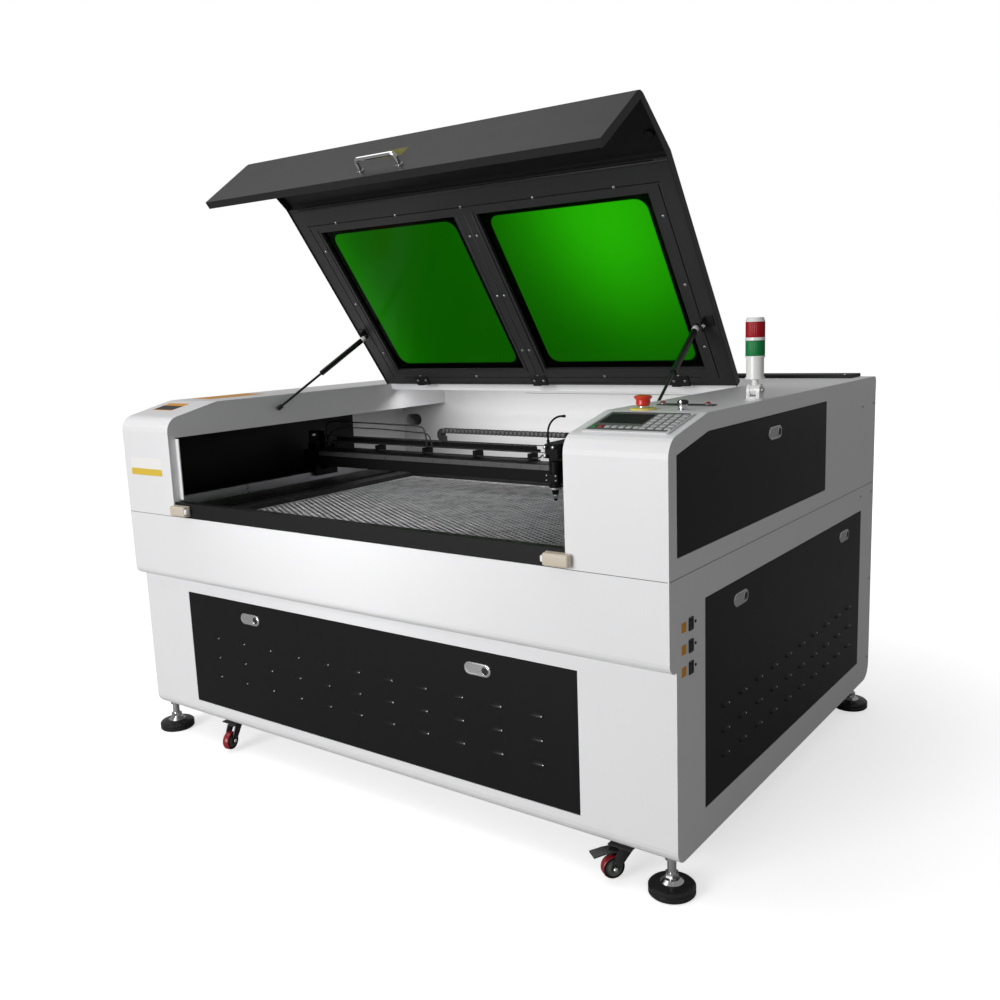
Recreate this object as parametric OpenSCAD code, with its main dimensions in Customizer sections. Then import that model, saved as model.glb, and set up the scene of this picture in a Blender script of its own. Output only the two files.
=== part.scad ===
// Laser engraving machine: gantry table in a sheet-steel cabinet under a
// lift-up lid on gas struts, standing on four levelling feet.
// Y is measured back from the front face and Z up from the floor; the whole
// machine is then shifted so that its footprint is centred on the origin.

/* [Body] */
// Width over the two side plates
body_w = 1850; // [1780:10:2000]
// Depth from the front face to the back plate
body_d = 1406; // [1400:2:1500]
// Height of the level top above the floor
body_h = 1055; // [1045:1:1075]
// Drop of the front corner where the top starts to slope
front_drop = 41; // [30:1:55]
// Depth of the sloping front of the top
slope_d = 185; // [165:5:200]
// Height of the cabinet's underside above the floor
base_z = 86; // [80:1:96]
// Height of the seam between the cabinet and the housings
seam_z = 727; // [720:1:732]
// Height of the lower edge of the front lip
lip_z = 527; // [515:1:560]
// Setback of the cabinet front under the lip
recess = 32; // [26:1:40]
// Thickness of the sheet steel
sheet_t = 2; // [1.5:0.1:3]
// Radius of the front top corner
corner_r = 45; // [20:1:60]
// Radius under the front lip
lip_r = 24; // [5:1:28]
// Radius of the cabinet's lower corners
base_r = 34; // [10:1:50]

/* [Housings] */
// Width of the left housing
left_w = 227; // [215:1:240]
// Width of the right housing
right_w = 247; // [240:1:262]
// Height of the housings' inner bands
band_h = 95; // [75:1:115]
// Depth of the upright leg at the front of each inner band
leg_d = 25; // [18:1:32]
// Width of the sealing strip on each leg
strip_w = 15; // [8:1:15]
// Distance of the top deck's front edge behind the hinge axis
deck_back = 15; // [9:1:24]
// Height of the deck's front flange
deck_flange = 22; // [16:1:30]
// Depth of the tube compartment behind the inner back wall
tube_bay_d = 121; // [116:1:136]
// Width of the slot for the laser beam in the inner back wall
beam_slot_w = 80; // [50:1:90]
// Height of that slot
beam_slot_h = 44; // [30:1:50]

/* [Front sill] */
// Height of the black sill bar above the seam
sill_h = 43; // [30:1:46]
// Depth of the sill bar
sill_d = 25; // [20:1:60]
// Setback of the sill bar from the front face
sill_in = 4; // [2:1:10]
// Width of each lid catch
catch_w = 68; // [40:1:76]
// Height of the lid catches
catch_h = 30; // [20:1:34]
// Height of the lid catches above the seam
catch_up = 6; // [2:1:8]
// Distance of the catches' outer ends from the machine's centre
catch_x = 696; // [670:1:704]
// How far the lid catches stand out of the front face
catch_proud = 20; // [10:1:28]
// Gap between the sill and the sealing strips
strip_gap = 5; // [3:0.5:7]

/* [Work table] */
// Width of the table frame
table_w = 1400; // [1350:2:1404]
// Distance of the table frame from the front face
table_y = 86; // [80:1:100]
// Depth of the table frame
table_d = 990; // [960:2:1000]
// Width of the frame's bars
bar_w = 60; // [40:1:70]
// Height of the frame's top above the floor
table_z = 722; // [718:1:724]
// How far the honeycomb lies below the frame's top
comb_drop = 14; // [10:1:16]
// Thickness of the honeycomb panel
comb_t = 16; // [12:1:20]
// Gap round the honeycomb panel
comb_gap = 8; // [2:1:12]
// Height of the well's floor above the floor
well_z = 640; // [620:1:660]

/* [Lid] */
// Angle by which the lid stands open
lid_open = 53.9; // [30:0.1:60]
// Height of the lid's top above the housings' top, closed
lid_proud = 7; // [5:1:12]
// Distance of the hinge axis from the front face
hinge_y = 963; // [956:1:966]
// Gap between the lid and the left housing
lid_gap_l = 17; // [16:1:20]
// Gap between the lid and the right housing
lid_gap_r = 7; // [6:1:12]
// Distance of the lid's front flap from the front face, closed
flap_y = 41; // [38:1:46]
// Radius of the lid's front bend
bend_r = 26; // [10:1:30]
// Distance of the lid frame's seams from its ends
seam_in = 47; // [40:1:60]
// Drop of the lid's front bend below its top
bend_drop = 51; // [42:1:62]
// Depth of the lid's sloping front
lid_slope = 187; // [170:1:200]
// Height of the front flap
flap_h = 228; // [200:1:230]
// Depth of the flap's folded edges
hem = 22; // [14:1:24]
// Height of the lid's side edges
side_edge = 25; // [22:1:26]
// Depth of the frame under the lid's skin
frame_t = 18; // [14:1:20]
// Width of each window opening in the skin
window_w = 504; // [460:2:520]
// Depth of each window opening
window_d = 530; // [480:2:540]
// Corner radius of the window openings
window_r = 34; // [10:1:60]
// Distance of the window openings from the hinge axis
window_back = 88; // [84:1:100]
// Width of the bar between the two panes
centre_bar = 64; // [50:1:72]
// Overlap of the panes beyond the openings
pane_lap = 32; // [20:1:34]
// Thickness of the panes
pane_t = 5; // [3:1:6]
// Width of the strips that hold the panes
pane_strip = 9; // [6:1:14]
// Width of each of the lid's three hinges
hinge_w = 60; // [40:2:80]
// Pitch of the lid's hinges
hinge_pitch = 500; // [400:10:560]
// Diameter of the lid hinges' knuckles
knuckle_d = 14; // [12:1:14]
// Diameter of the lid hinges' pins
pin_d = 8; // [6:1:9]
// Thickness of the hinges' leaves on the lid
lid_leaf_t = 4; // [3:0.5:5]
// Depth of the hinges' leaves on the lid
lid_leaf_d = 46; // [30:1:60]
// Thickness of the hinges' leaves on the deck
deck_leaf_t = 3; // [2:0.5:4]
// Depth of the hinges' leaves on the deck
deck_leaf_d = 24; // [16:1:40]
// Width of the handle between its two feet
handle_w = 136; // [90:1:180]
// How far the handle stands off the flap
handle_out = 34; // [25:1:37]
// Diameter of the handle's rod
handle_dia = 12; // [8:1:14]
// Distance of the handle from the flap's lower edge
handle_up = 32; // [24:1:60]

/* [Gas struts] */
// Distance of the lower ball studs from the front face
strut_low_y = 420; // [400:1:440]
// Depth of the lower ball studs below the housings' top
strut_low_drop = 41; // [37:1:47]
// Distance of the lower ball studs from the inner bands
strut_low_in = 13; // [11:1:15]
// Distance of the upper ball studs in front of the hinge axis
strut_up_fwd = 240; // [230:1:260]
// Distance of the upper ball studs below the lid's top
strut_up_drop = 44; // [42:1:48]
// Distance of the upper ball studs from the lid's side edges
strut_up_in = 53; // [48:1:60]
// Diameter of the struts' cylinders
strut_dia = 18; // [14:1:18]
// Diameter of the struts' rods
strut_rod = 8; // [6:1:10]
// Length of the struts' cylinders
strut_body = 226; // [200:1:240]
// Diameter of the lower ball studs
ball_dia = 10; // [8:0.5:10.5]
// Diameter of the stems of the lower ball studs
stud_dia = 5; // [4:0.5:6]
// Diameter of the upper pivot pins
upper_stud_dia = 7; // [5:0.5:9]
// Length of the strut brackets on the lid
bracket_w = 32; // [24:2:44]
// Thickness of the strut brackets
bracket_t = 3; // [2:0.5:4]

/* [Doors] */
// Distance of the front door from the left side
front_door_x = 214; // [150:1:260]
// Width of the front door
front_door_w = 1390; // [1200:10:1440]
// Height of the front door
front_door_h = 345; // [280:1:360]
// Height of the front door's lower edge above the floor
front_door_z = 141; // [135:1:150]
// Distance of the lower side door from the front face
side_door_y = 172; // [150:1:200]
// Distance of the lower side door from the back
side_door_back = 122; // [80:2:300]
// Height of the lower side door
side_door_h = 487; // [420:1:500]
// Height of the lower side door's lower edge above the floor
side_door_z = 166; // [150:1:180]
// Distance of the upper side door from the front face
upper_door_y = 38; // [32:1:60]
// Width of the upper side door
upper_door_w = 909; // [800:1:920]
// Height of the upper side door's lower edge above the floor
upper_door_z = 771; // [765:1:790]
// Distance of the upper side door below the housings' top
upper_door_top = 41; // [38:1:60]
// Drop of the upper side door's sloping front corner
upper_door_drop = 33; // [20:1:45]
// Depth of that sloping front corner
upper_door_slope = 151; // [120:1:180]
// Depth of the doors' folded edges
door_t = 14; // [10:1:18]
// Gap round each door
door_gap = 1.5; // [1.4:0.1:3]
// Width of the jambs' lips behind the doors
jamb_lip = 12; // [8:1:16]
// Width of a louvre slit
louvre_w = 38; // [30:1:60]
// Height of a louvre slit
louvre_h = 5; // [4:1:8]
// Pitch of the louvres along the front door
louvre_pitch = 116.4; // [90:0.1:120]
// Pitch of the louvres along the lower side door
side_louvre_pitch = 100; // [80:1:104]
// Pitch of the louvre rows
louvre_row = 60; // [40:1:70]
// Distance of the front louvres' middle row below the door's middle
front_louvre_drop = 14; // [0:1:30]
// Distance of the side louvres' middle row below the door's middle
side_louvre_drop = 95; // [60:1:110]
// Width of a latch plate
latch_w = 78; // [60:1:100]
// Height of a latch plate
latch_h = 30; // [26:1:40]
// Thickness of a latch plate
latch_t = 3; // [2:0.5:4]
// Diameter of a latch's push button
button_dia = 17; // [12:1:20]
// Distance of the lower doors' latches below the doors' upper edges
latch_drop = 46; // [36:1:60]
// Distance of the front door's latches from its sides
front_latch_in = 280; // [150:5:400]
// Distance of the first lower side latch from the door's front edge
side_latch_front = 191; // [100:1:260]
// Distance of the second lower side latch from the door's back edge
side_latch_back = 163; // [100:1:260]
// Distance of the upper latch from the door's front edge
upper_latch_at = 529; // [400:1:600]
// Distance of the upper latch below the door's upper edge
upper_latch_drop = 43; // [36:1:60]

/* [Gantry] */
// Distance of the gantry beam from the front face at rest
beam_y = 700; // [660:1:720]
// Depth of the gantry beam
beam_d = 60; // [50:1:64]
// Height of the beam's underside above the floor
beam_z = 780; // [776:1:786]
// Height of the gantry beam
beam_h = 55; // [48:1:58]
// Distance of each Y rail from its side plate
rail_in = 75; // [70:1:85]
// Width of the Y rails
rail_w = 24; // [20:1:30]
// Height of the Y rails above the seam
rail_h = 30; // [24:1:32]
// Place of the laser head along X at rest
head_x = 227; // [180:1:250]
// Height of the X guide rail's lower edge above the beam's
x_rail_up = 39; // [28:1:39]
// Bend radius of the air hose on the head
hose_r = 52; // [40:1:56]
// Width of the laser head
head_w = 66; // [56:1:72]
// Height of the laser beam's path above the floor
beam_path_z = 888; // [884:1:892]
// Distance of the lens tube in front of the beam
lens_out = 45; // [42:1:50]
// Diameter of the lens tube
lens_dia = 30; // [24:1:32]
// Height of the nozzle's tip above the floor at rest
nozzle_z = 737; // [735:1:742]
// Height of the cable chain's links
chain_h = 16; // [12:1:16]
// Width of the cable chain
chain_w = 26; // [20:1:28]
// Place of the cable chain's bend along X at rest
chain_x = -294; // [-330:1:-270]

/* [Laser tube] */
// Diameter of the laser tube
tube_dia = 80; // [60:1:84]
// Length of the laser tube
tube_len = 1300; // [1100:10:1400]
// Length of the tube's narrow ends
tube_end = 40; // [20:1:60]
// Thickness of the tube's cradles
cradle_t = 30; // [16:1:50]
// Distance between the tube's cradles
cradle_pitch = 840; // [600:10:1000]
// Width of the high-voltage supply
supply_w = 180; // [120:5:220]
// Depth of the high-voltage supply
supply_d = 320; // [200:5:360]
// Height of the high-voltage supply
supply_h = 150; // [100:5:200]
// Width of the controller's box
control_w = 130; // [90:5:180]
// Depth of the controller's box
control_d = 280; // [200:5:320]
// Height of the controller's box
control_h = 220; // [140:5:260]

/* [Controls] */
// Width of the control panel
panel_w = 205; // [195:1:215]
// Depth of the control panel
panel_d = 135; // [125:1:145]
// Distance of the control panel's middle from the front corner
panel_y = 104; // [90:1:108]
// Distance of the emergency stop from the inner band
estop_x = 77; // [60:1:110]
// Distance of the emergency stop behind the sloping part
estop_back = 32; // [30:1:60]
// Diameter of the emergency stop's head
estop_dia = 41; // [30:1:44]
// Diameter of the emergency stop's yellow ring
estop_ring = 60; // [50:1:70]
// Distance of the first lamp from the inner band
lamp_first = 68; // [50:1:80]
// Distance of the key switch from the inner band
key_at = 172; // [150:1:200]
// Distance of the key switch behind the sloping part
key_back = 36; // [20:1:60]
// Distance of the second lamp from the inner band
lamp_last = 181; // [175:1:190]
// Distance of the lamps from the front face
lamp_y = 332; // [320:1:350]
// Distance of the signal tower from the right side
tower_in = 24; // [24:1:60]
// Distance of the signal tower from the front face
tower_y = 500; // [470:1:540]
// Diameter of the signal tower's lenses
tower_dia = 46; // [40:1:46]
// Height of each lens
lens_h = 36; // [30:1:45]
// Distance of the rocker switches from the front face
rocker_y = 99; // [90:1:110]
// Height of the top rocker switch above the floor
rocker_z = 616; // [600:1:640]
// Pitch of the rocker switches
rocker_pitch = 48.5; // [40:0.5:52]

/* [Feet and casters] */
// Distance of the levelling feet from the sides
foot_in_x = 34; // [32:1:60]
// Distance of the levelling feet from the front and the back
foot_in_y = 70; // [56:1:80]
// Diameter of the levelling feet
foot_dia = 106; // [80:1:110]
// Height of the feet's domes
foot_h = 35; // [33:1:42]
// Diameter of the feet's threaded stems
stem_dia = 20; // [16:1:24]
// Distance of the left casters from the left side
caster_in_left = 338; // [220:1:350]
// Distance of the right casters from the right side
caster_in_right = 150; // [146:1:200]
// Distance of the casters from the front and the back
caster_in_y = 66; // [62:1:90]
// Radius of the caster wheels
wheel_r = 27; // [22:1:28]
// Width of the caster wheels
wheel_w = 22; // [16:1:24]
// Trail of the caster wheels behind their swivels
caster_trail = 30; // [20:1:34]
// Clearance of the caster wheels above the floor
caster_lift = 7; // [4:1:12]
// Swivel of the front left caster
swivel_fl = 15; // [-180:1:180]
// Swivel of the front right caster
swivel_fr = -38; // [-180:1:180]
// Diameter of the casters' kingpins
kingpin_dia = 10; // [8:1:14]

/* [Back] */
// Diameter of the two exhaust collars
exhaust_dia = 150; // [100:1:160]
// Length of the exhaust collars
exhaust_len = 50; // [30:1:80]
// Height of the exhaust collars' axes above the floor
exhaust_z = 470; // [440:1:520]
// Distance between the exhaust collars' axes
exhaust_pitch = 640; // [400:10:900]
// Width of the exhaust collars' flanges
exhaust_flange = 20; // [12:1:30]
// Width of the back panels
back_panel_w = 1160; // [900:10:1200]
// Height of the lower back panel
back_panel_h = 210; // [150:5:220]
// Distance of the upper back panel from the seam and from the top
back_margin = 60; // [40:1:90]
// Distance of the mains inlet from the middle of the back
inlet_x = 660; // [630:5:800]
// Height of the mains inlet above the floor
inlet_z = 250; // [200:5:400]
// Width of the mains inlet
inlet_w = 50; // [40:1:60]
// Height of the mains inlet's housing
inlet_h = 60; // [50:1:80]

/* [Hidden] */
$fn = 48;
w2 = body_w / 2;
xl = -w2 + left_w;                 // inner face of the left housing
xr = w2 - right_w;                 // inner face of the right housing
xm = (xl + xr) / 2;                // middle of the opening between them
mid_y = (body_d + exhaust_len - catch_proud) / 2;
slack = 0.3;                       // seat clearance between pieces that move
fit = 0.05;                        // radial running clearance
slope_a = atan2(front_drop, slope_d);
front_h = body_h - front_drop;      // height of the front corner
band_z = body_h - band_h;           // lower edge of the inner bands
rear_wall_y = body_d - tube_bay_d;
deck_y = hinge_y + deck_back;
strut_low_z = body_h - strut_low_drop;
hinge_z = body_h + lid_proud;
bend_z = hinge_z - bend_drop;
side_door_w = body_d - side_door_y - side_door_back;
upper_door_h = body_h - upper_door_top - upper_door_z;
lid_x0 = xl + lid_gap_l;
lid_x1 = xr - lid_gap_r;
lid_xm = (lid_x0 + lid_x1) / 2;
lid_t = 2;
break_y = flap_y + lid_slope;
frame_z = hinge_z - lid_t - frame_t; // underside of the lid frame, closed
window_y1 = hinge_y - window_back;
window_y0 = window_y1 - window_d;
pane_y0 = window_y0 - pane_lap + 3;
pane_y1 = window_y1 + pane_lap - 3;
pane_w = window_w + 2 * pane_lap;
upper_stud_len = 15;
window_x = centre_bar / 2 + pane_lap + window_w / 2;
rail_x = w2 - rail_in;
rail_top = seam_z + rail_h;
head_y = beam_y - lens_out;
belt_y = beam_y + 44;
chain_y = beam_y + beam_d + 12;
chain_low = beam_z + beam_h + 26;  // underside of the chain's lower run
belt_z = beam_path_z - 13.5;
pulley_r = 10;
belt_t = 1.5;
bend_in = 6;                       // inner radius of the chain's bend
chain_up = chain_low + chain_h + 1 + chain_h + 2 * bend_in;
tube_y = (rear_wall_y + body_d) / 2;
tower_x = w2 - tower_in;
tower_pivot = body_h + 24;
wheel_bore = 10;
axle_z = caster_lift + wheel_r;
exhaust_x = [-exhaust_pitch / 2, exhaust_pitch / 2];
cradle_xs = [xm + 50 - cradle_pitch / 2, xm + 50 + cradle_pitch / 2];
hinge_xs = [for (i = [-1:1]) lid_xm + i * hinge_pitch];
cover_hinge_xs = [for (i = [-1:1]) i * (w2 - 325)];
lid_rear = hinge_y - knuckle_d / 2 - 1; // rear edge of the lid's sheets
door_play = 0.9;                   // play behind the doors in their jambs
door_pin = 4;
door_pin_in = 3.2;                 // from the door's outer face and lower edge
upper_latch = [upper_door_y + upper_latch_at,
               upper_door_z + upper_door_h - upper_latch_drop];
lower_latch_z = side_door_z + side_door_h - latch_drop;
cover_y0 = rear_wall_y + 10;
cover_y1 = body_d - 8;
cover_in = 45;
cover_h = 10;
cover_pin = 3;
cover_pin_z = body_h + 3.5;
cover_pin_y = cover_y1 + 4;
panel_xm = (xr + w2) / 2 + 2;
estop_y = slope_d + estop_back;
lamp_x = [xr + lamp_first, xr + lamp_last];
key_xy = [xr + key_at, slope_d + key_back, body_h];
lower_latch_y = [side_door_y + side_latch_front,
                 side_door_y + side_door_w - side_latch_back];
front_latch_x = [-w2 + front_door_x + front_latch_in,
                 -w2 + front_door_x + front_door_w - front_latch_in];

// ---------------------------------------------------------------- outlines
function unit(v) = v / norm(v);

// Arc points that round the corner b between a and c with radius r.
function round_corner(a, b, c, r, n = 5) = r <= 0 ? [b] :
    let (u = unit(a - b), v = unit(c - b), half = acos(u * v) / 2,
         m = b + unit(u + v) * r / sin(half),
         s = b + u * r / tan(half), e = b + v * r / tan(half),
         a0 = atan2(s.y - m.y, s.x - m.x), a1 = atan2(e.y - m.y, e.x - m.x),
         sweep = (a1 - a0 + 540) % 360 - 180)
    [for (i = [0:n]) let (t = a0 + sweep * i / n) m + r * [cos(t), sin(t)]];

function rounded(p, radii) = let (n = len(p))
    [for (i = [0:n - 1]) each
        round_corner(p[(i + n - 1) % n], p[i], p[(i + 1) % n], radii[i])];

// Moves each side of an anticlockwise outline inwards by d.
function inset(p, d) = let (n = len(p))
    [for (i = [0:n - 1])
        let (a = p[(i + n - 1) % n], b = p[i], c = p[(i + 1) % n],
             u = unit(b - a), v = unit(c - b),
             q = b + [-u.y, u.x] * d, w = b + [-v.y, v.x] * d)
        q + u * cross(w - q, v) / cross(u, v)];

cabinet_corners = [[recess, base_z], [body_d, base_z], [body_d, seam_z],
                   [0, seam_z], [0, lip_z], [recess, lip_z]];
housing_corners = [[0, seam_z], [body_d, seam_z], [body_d, body_h],
                   [slope_d, body_h], [0, front_h]];
upper_door_corners = [
    [upper_door_y, upper_door_z],
    [upper_door_y + upper_door_w, upper_door_z],
    [upper_door_y + upper_door_w, upper_door_z + upper_door_h],
    [upper_door_y + upper_door_slope, upper_door_z + upper_door_h],
    [upper_door_y, upper_door_z + upper_door_h - upper_door_drop]];
lid_corners = [[flap_y, bend_z - flap_h], [flap_y, bend_z],
               [break_y, hinge_z], [hinge_y, hinge_z]];

function cabinet_outline(d) = rounded(inset(cabinet_corners, d),
    [base_r - d, base_r + 14 - d, 0, 0, lip_r - d, 0]);
function housing_outline(d) = rounded(inset(housing_corners, d),
    [0, 0, 14 - d, 60, corner_r - d]);

// Outline of the lid at depth d under its outer surface.
function lid_slope_a() = atan2(hinge_z - bend_z, lid_slope);
function lid_points(d) = [
    [flap_y + d, bend_z - flap_h],
    each [for (a = [0:15:60]) let (t = 180 - a * (90 - lid_slope_a()) / 60)
        [flap_y + bend_r + (bend_r - d) * cos(t),
         bend_z + bend_r * (tan(lid_slope_a()) - 1 / cos(lid_slope_a()))
         + (bend_r - d) * sin(t)]],
    [break_y + d * tan(lid_slope_a() / 2), hinge_z - d],
    [lid_rear, hinge_z - d]];

// ----------------------------------------------------------------- helpers
module at_front() translate([0, -mid_y, 0]) children();

// Extrudes a profile drawn in Y and Z from x0 to x1.
module along_x(x0, x1) translate([x0, 0, 0]) rotate([90, 0, 90])
    linear_extrude(x1 - x0) children();

// Extrudes a profile drawn in X and Z from y0 to y1.
module along_y(y0, y1) translate([0, y1, 0]) rotate([90, 0, 0])
    linear_extrude(y1 - y0) children();

// Box between two opposite corners.
module box(a, b) translate(a) cube(b - a);

module rod(d, h) cylinder(d = d, h = h);

module rod_x(d, h) rotate([0, 90, 0]) cylinder(d = d, h = h);

module rod_y(d, h) rotate([-90, 0, 0]) cylinder(d = d, h = h);

// Flat shape with round ends, w wide and h high, centred.
module slot2d(w, h) {
    square([w - h, h], center = true);
    for (s = [-1, 1]) translate([s * (w - h) / 2, 0]) circle(d = h);
}

// Rectangle with round corners, centred.
module round_rect(w, h, r) {
    square([w - 2 * r, h], center = true);
    square([w, h - 2 * r], center = true);
    for (i = [-1, 1], j = [-1, 1])
        translate([i * (w / 2 - r), j * (h / 2 - r)]) circle(r);
}

// Puts its children in the lid's open position; they are drawn closed.
module lid_pose() translate([0, hinge_y, hinge_z]) rotate([-lid_open, 0, 0])
    translate([0, -hinge_y, -hinge_z]) children();

// Stands its children, drawn along +Z from the origin, on a towards b.
module from_to(a, b) {
    v = b - a;
    translate(a) rotate([0, acos(v.z / norm(v)), atan2(v.y, v.x)]) children();
}

// ----------------------------------------------------------------- cabinet
// A door's two pin corners: the origin is where the pin's axis meets the
// door's side edge, +X runs into the door and +Y from its outer face inwards.
module front_corners(x, w, z) for (m = [0, 1])
    translate([x + m * w, recess + door_pin_in, z + door_pin_in])
    mirror([m, 0, 0]) children();

module side_corners(y, w, z) for (m = [0, 1])
    translate([w2 - door_pin_in, y + m * w, z + door_pin_in])
    rotate([0, 0, 90]) mirror([m, 0, 0]) children();

module jamb_pin() translate([-door_gap - 1, 0, 0]) rod_x(door_pin, door_gap + 10);

module door_boss() translate([0, -door_pin_in, -door_pin_in]) cube([12, 9, 9]);

module door_bore() translate([-1, 0, 0]) rod_x(door_pin + 2 * fit, 12);

// Jamb of a door: the door lies in it and closes against its inner flange.
module jamb_front(x, z, w, h) {
    d = recess + door_t + door_play + sheet_t;
    difference() {
        box([x - door_gap - sheet_t, recess, z - door_gap - sheet_t],
            [x + w + door_gap + sheet_t, d, z + h + door_gap + sheet_t]);
        box([x - door_gap, recess - 1, z - door_gap],
            [x + w + door_gap, d - sheet_t, z + h + door_gap]);
        box([x + jamb_lip, recess, z + jamb_lip],
            [x + w - jamb_lip, d + 1, z + h - jamb_lip]);
    }
    front_corners(x, w, z) jamb_pin();
}

module jamb_side(outline) {
    d = door_t + door_play + sheet_t;
    difference() {
        along_x(w2 - d, w2) polygon(inset(outline, -door_gap - sheet_t));
        along_x(w2 - d + sheet_t, w2 + 1) polygon(inset(outline, -door_gap));
        along_x(w2 - d - 1, w2) polygon(inset(outline, jamb_lip));
    }
    side_corners(outline[0].x, outline[1].x - outline[0].x, outline[0].y) jamb_pin();
}

side_door_outline = [
    [side_door_y, side_door_z], [side_door_y + side_door_w, side_door_z],
    [side_door_y + side_door_w, side_door_z + side_door_h],
    [side_door_y, side_door_z + side_door_h]];

module lower_cabinet() color([0.88, 0.88, 0.88]) at_front() {
    x0 = -w2 + front_door_x;
    difference() {
        along_x(-w2, w2) polygon(cabinet_outline(0));
        along_x(-w2 + sheet_t, w2 - sheet_t) polygon(cabinet_outline(sheet_t));
        box([-w2 + sheet_t, sheet_t, seam_z - 2 * sheet_t],
            [w2 - sheet_t, body_d - sheet_t, seam_z + 1]);
        box([x0 - door_gap, 0, front_door_z - door_gap],
            [x0 + front_door_w + door_gap, recess + sheet_t + 1,
             front_door_z + front_door_h + door_gap]);
        along_x(w2 - sheet_t - 1, w2 + 1)
            polygon(inset(side_door_outline, -door_gap));
        for (i = [0:2]) translate([0, rocker_y, rocker_z - i * rocker_pitch])
            box([w2 - sheet_t - 1, -7, -10], [w2 + 1, 7, 10]);
        for (x = exhaust_x) translate([x, body_d - sheet_t - 1, exhaust_z])
            rod_y(exhaust_dia - 2 * sheet_t, sheet_t + 2);
        at_feet() translate([0, 0, base_z - 10]) rod(stem_dia + 2 * slack, 50);
    }
    jamb_front(x0, front_door_z, front_door_w, front_door_h);
    jamb_side(side_door_outline);
}

// Black inner deck with the sunken well that holds the table.
module work_well() color([0.05, 0.05, 0.05]) at_front() {
    wx0 = xm - table_w / 2 - 6;
    wx1 = xm + table_w / 2 + 6;
    wy0 = table_y - 6;
    wy1 = table_y + table_d + 6;
    difference() {
        union() {
            box([-w2 + sheet_t, sheet_t, seam_z - sheet_t],
                [w2 - sheet_t, body_d - sheet_t, seam_z]);
            box([wx0 - sheet_t, wy0 - sheet_t, well_z - sheet_t],
                [wx1 + sheet_t, wy1 + sheet_t, seam_z - sheet_t]);
        }
        box([wx0, wy0, well_z], [wx1, wy1, seam_z + 1]);
    }
}

// ---------------------------------------------------------------- housings
// Box-shaped housing between x0 and x1, open underneath; its inner face is
// open below the band and behind the inner back wall.
module housing(x0, x1, inner) {
    cover_x = w2 - cover_in - 6;
    difference() {
        along_x(x0, x1) polygon(housing_outline(0));
        along_x(x0 + sheet_t, x1 - sheet_t) polygon(housing_outline(sheet_t));
        box([x0 + sheet_t, sheet_t, seam_z - 1],
            [x1 - sheet_t, body_d - sheet_t, seam_z + 2 * sheet_t]);
        box([inner - 2 * sheet_t, leg_d, seam_z - 1],
            [inner + 2 * sheet_t, rear_wall_y + sheet_t, band_z]);
        box([inner - 2 * sheet_t, rear_wall_y, seam_z - 1],
            [inner + 2 * sheet_t, body_d - sheet_t, body_h - sheet_t]);
        box([-cover_x, cover_y0 + 6, body_h - 2 * sheet_t],
            [cover_x, cover_y1 - 6, body_h + 1]);
    }
}

module left_housing() color([0.88, 0.88, 0.88]) at_front() {
    housing(-w2, xl, xl);
    box([xl, leg_d - 1, seam_z + sill_h + strip_gap], [xl + strip_w, leg_d + 2, band_z - 3]);
}

module right_housing() color([0.88, 0.88, 0.88]) at_front() {
    difference() {
        housing(xr, w2, xr);
        along_x(w2 - sheet_t - 1, w2 + 1)
            polygon(inset(upper_door_corners, -door_gap));
        on_slope() box([-panel_w / 2 + 8, -panel_d / 2 + 8, -8],
                       [panel_w / 2 - 8, panel_d / 2 - 8, 8]);
        translate([xr + estop_x, estop_y, body_h - 8]) rod(23, 16);
        for (x = lamp_x) translate([x, lamp_y, body_h - 8]) rod(17, 16);
        translate(key_xy - [0, 0, 8]) rod(17, 16);
        translate([tower_x, tower_y, body_h - 8]) rod(20, 16);
    }
    jamb_side(upper_door_corners);
    box([xr - strip_w / 3, leg_d - 1, seam_z + sill_h + strip_gap],
        [xr, leg_d + 2, band_z - 3]);
}

// Origin at the middle of the control panel, on the sloping top.
module on_slope() translate([panel_xm, panel_y, front_h + panel_y * tan(slope_a)])
    rotate([slope_a, 0, 0]) children();

module top_deck() color([0.9, 0.9, 0.9]) at_front() {
    cover_x = w2 - cover_in - 6;
    difference() {
        union() {
            box([xl, deck_y, body_h - sheet_t], [xr, body_d, body_h]);
            box([xl, deck_y, body_h - deck_flange],
                [xr, deck_y + sheet_t, body_h - sheet_t]);
            box([xl, body_d - sheet_t, seam_z], [xr, body_d, body_h - sheet_t]);
        }
        box([-cover_x, cover_y0 + 6, body_h - 2 * sheet_t],
            [cover_x, cover_y1 - 6, body_h + 1]);
    }
}

// Inner back wall with the slot that lets the beam through.
module rear_wall() color([0.85, 0.85, 0.85]) at_front() difference() {
    box([-w2 + sheet_t, rear_wall_y, seam_z],
        [w2 - sheet_t, rear_wall_y + sheet_t, body_h - sheet_t]);
    translate([-rail_x - 16, 0, beam_path_z]) along_y(rear_wall_y - 1, rear_wall_y + 3)
        slot2d(beam_slot_w, beam_slot_h);
}

module rear_cover() color([0.08, 0.08, 0.08]) at_front() {
    x = w2 - cover_in;
    difference() {
        box([-x, cover_y0, body_h], [x, cover_y1, body_h + cover_h]);
        box([-x + sheet_t, cover_y0 + sheet_t, body_h - 1],
            [x - sheet_t, cover_y1 - sheet_t, body_h + cover_h - sheet_t]);
    }
    for (i = cover_hinge_xs) difference() {
        union() {
            translate([i - 20, cover_pin_y, cover_pin_z])
                rod_x(2 * (cover_pin_z - body_h) - 2 * slack, 20 - slack);
            box([i - 20, cover_y1, cover_pin_z - 1],
                [i - slack, cover_pin_y, cover_pin_z + 3.2]);
        }
        translate([i - 21, cover_pin_y, cover_pin_z])
            rod_x(cover_pin + 2 * fit, 22);
    }
}

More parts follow.
